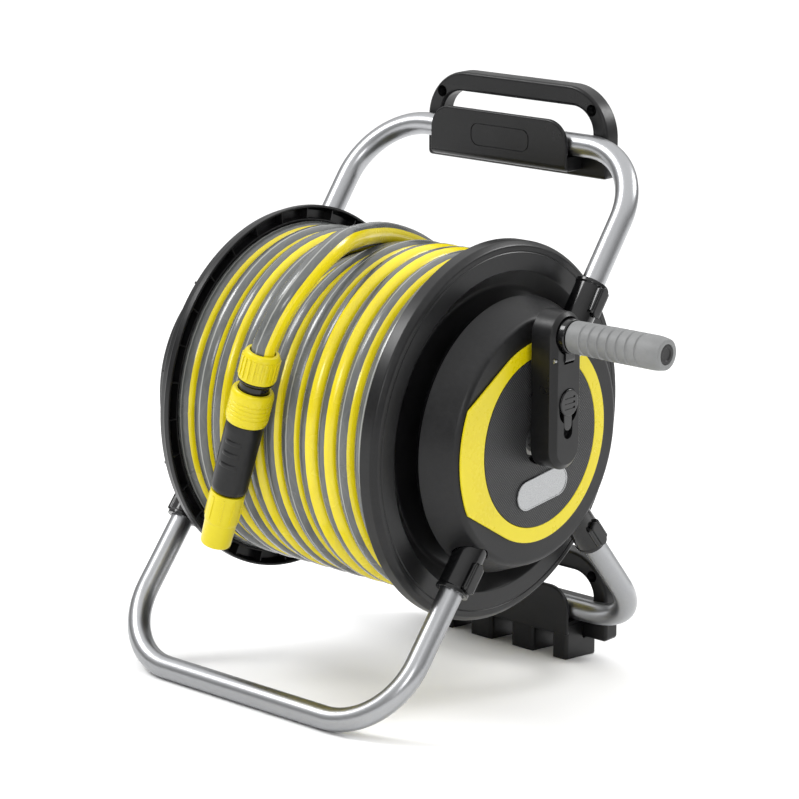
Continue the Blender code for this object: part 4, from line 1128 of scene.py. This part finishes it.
def connector_and_nozzle():
    nut = along_nozzle(
        [(0.0108, 0), (0.0135, 0, 0.002), (0.0154, 0.0035, 0.002), (0.0154, 0.025), (0.0108, 0.025)]
    )
    add_ribs(nut, 20, 0.0154, 0.005, 0.0225, 0.0026, 0.0009)
    add_piece("hose_nut_ribbed", nut, "yellow", "drum", "hose_nut")
    profile = [
        (0.007, 0.0253), (0.0152, 0.0253, 0.0008), (0.0152, 0.0268), (0.0128, 0.029), (0.0128, 0.061),
        (0.0105, 0.063), (0.007, 0.063),
    ]
    body = along_nozzle(profile)
    add_piece("connector_ring", body, "gloss", "drum", "connector_body")
    sleeve_grooves = []
    for number in range(4):
        along = 0.0435 + 0.0038 * number
        sleeve_grooves += [
            (0.018, along, 0.0003), (0.0175, along + 0.0005, 0.0002), (0.0175, along + 0.001, 0.0002),
            (0.018, along + 0.0015, 0.0003),
        ]
    profile = [
        (0.0133, 0.0345), (0.0166, 0.0345, 0.001), (0.018, 0.0375, 0.002), (0.018, 0.0425, 0.0004),
        *sleeve_grooves, (0.018, 0.06, 0.002), (0.0168, 0.064, 0.001), (0.0133, 0.064),
    ]
    sleeve = along_nozzle(profile)
    add_piece("connector_sleeve_ribbed", sleeve, "yellow", "sleeve", "connector_sleeve")
    profile = [
        (0, 0.05), (0.0066, 0.05), (0.0066, 0.0645), (0.0152, 0.0645, 0.001), (0.0159, 0.07, 0.002),
        (0.0155, 0.125, 0.002), (0.014, 0.1285, 0.0015), (0.0106, 0.129), (0.0103, 0.145),
        (0, 0.145),
    ]
    nozzle = along_nozzle(profile)
    add_grip_bars(nozzle, 0.0152, (0.08, 0.0905, 0.101))
    add_piece("nozzle_body_ribbed", nozzle, "deep", "drum", "nozzle_body")
    profile = [
        (0.0112, 0.1295), (0.0146, 0.1295, 0.0008), (0.0146, 0.134), (0.0144, 0.156, 0.001),
        (0.0136, 0.1576, 0.001), (0.0129, 0.1775, 0.0008), (0.0121, 0.179, 0.0006), (0.006, 0.179),
        (0.006, 0.146), (0.0112, 0.146),
    ]
    tip = along_nozzle(profile)
    add_ribs(tip, 9, 0.0144, 0.1325, 0.153, 0.0022, 0.0006)
    add_piece("nozzle_tip_tapered", tip, "yellow", "tip", "nozzle_tip")


# Water inlet and the pieces that carry over from the CAD


def inlet():
    mouth, elbow_x, spout_end = -0.169, -0.189, -0.048
    down = about_axis(math.radians(-6.0))
    profile = [
        (AXLE_BORE, mouth), (0.015, mouth), (0.015, elbow_x - 0.012, 0.003), (0, elbow_x - 0.012),
        (0, elbow_x - 0.008), (0.0065, elbow_x - 0.008), (0.0065, -0.1768), (AXLE_BORE, -0.1768),
    ]
    elbow = turned(profile, steps=56)
    spout = rod((elbow_x, 0, -0.009), (elbow_x, 0, spout_end), 0.01, 40)
    elbow = combined(elbow, [spout], "UNION")
    elbow = combined(elbow, [rod((elbow_x, 0, -0.002), (elbow_x, 0, spout_end - 0.002), 0.0055, 28)])
    bmesh.ops.transform(elbow, matrix=down, verts=elbow.verts)
    add_piece("inlet_elbow_shell", elbow, "gloss", "inlet", "inlet_elbow")
    profile = [
        (0.0055, 0), (0.0125, 0), (0.0125, 0.004), (0.0085, 0.006), (0.0085, 0.01), (0.0078, 0.0105),
        (0.0078, 0.013), (0.0085, 0.0135), (0.0085, 0.02), (0.007, 0.024), (0.0055, 0.024),
    ]
    plug = turned(profile, (elbow_x, 0, spout_end - GAP), (0, 0, -1), 48, 0.0005)
    bmesh.ops.transform(plug, matrix=down, verts=plug.verts)
    add_piece("inlet_plug_turned", plug, "yellow", "inlet", "inlet_plug")


CARRIED_OVER = {
    "left_bearing_bush": "white", "right_bearing_bush": "white", "axle_seal": "rubber", "hose_tail": "white",
    "hose_clamp": "steel", "water_axle": "gloss", "crank_shaft": "steel", "grip_hinge_pin": "steel",
    "handle_left_screw": "steel", "handle_right_screw": "steel", "wall_bracket_left_screw": "steel",
    "wall_bracket_right_screw": "steel",
}


def dress_carried_over():
    for name, look in CARRIED_OVER.items():
        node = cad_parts[name]
        node.data.materials.clear()
        node.data.materials.append(LOOK[look])


# Studio


def studio():
    shape = bmesh.new()
    bmesh.ops.create_grid(shape, x_segments=1, y_segments=1, size=30)
    floor_mesh = mesh_of("floor", shape)
    paper = Finish("floor_paper", srgb(250, 250, 250), 0.9, specular=0.1)
    paper.paint(paper.mix(paper.noise(0.4, 2.0), srgb(248, 248, 248), srgb(252, 252, 252)))
    floor_mesh.materials.append(paper.material)
    floor = place("floor", floor_mesh)
    floor.location.z = -0.0002
    world = bpy.data.worlds.new("studio")
    world.use_nodes = True
    bpy.context.scene.world = world
    nodes, links = world.node_tree.nodes, world.node_tree.links
    background = nodes["Background"]
    direction = nodes.new("ShaderNodeTexCoord").outputs["Generated"]
    split = nodes.new("ShaderNodeSeparateXYZ")
    links.new(direction, split.inputs[0])
    height = nodes.new("ShaderNodeMapRange")
    height.interpolation_type = "SMOOTHSTEP"
    for label, number in (("From Min", 0.0), ("From Max", 0.9), ("To Min", 0.3), ("To Max", 1.45)):
        height.inputs[label].default_value = number
    links.new(split.outputs[2], height.inputs["Value"])
    links.new(height.outputs["Result"], background.inputs["Strength"])
    background.inputs["Color"].default_value = (1, 1, 1, 1)
    for name, position, size, power in (
        ("key_light", (-1.5, -1.5, 2.3), 1.1, 40),
        ("rim_light", (1.2, 1.9, 1.9), 0.9, 26),
        ("front_light", (1.6, -2.2, 1.2), 0.7, 12),
    ):
        data = bpy.data.lights.new(name, "AREA")
        data.shape = "DISK"
        data.size = size
        data.energy = power
        light = place(name, data)
        light.location = position
        light.rotation_euler = (Vector((0, 0, 0.2)) - Vector(position)).to_track_quat("-Z", "Y").to_euler()
    bpy.context.scene.view_settings.view_transform = "Standard"


bent_tube("top_tube_bent", "top", "top_tube")
bent_tube("front_tube_bent", "front", "front_foot_tube")
bent_tube("rear_tube_bent", "rear", "rear_foot_tube")
hub(1, "right")
hub(-1, "left")
face_trim()
carrying_handle()
wall_bracket()
drum()
crank()
grip()
connector_and_nozzle()
make_hose()
inlet()
dress_carried_over()
studio()
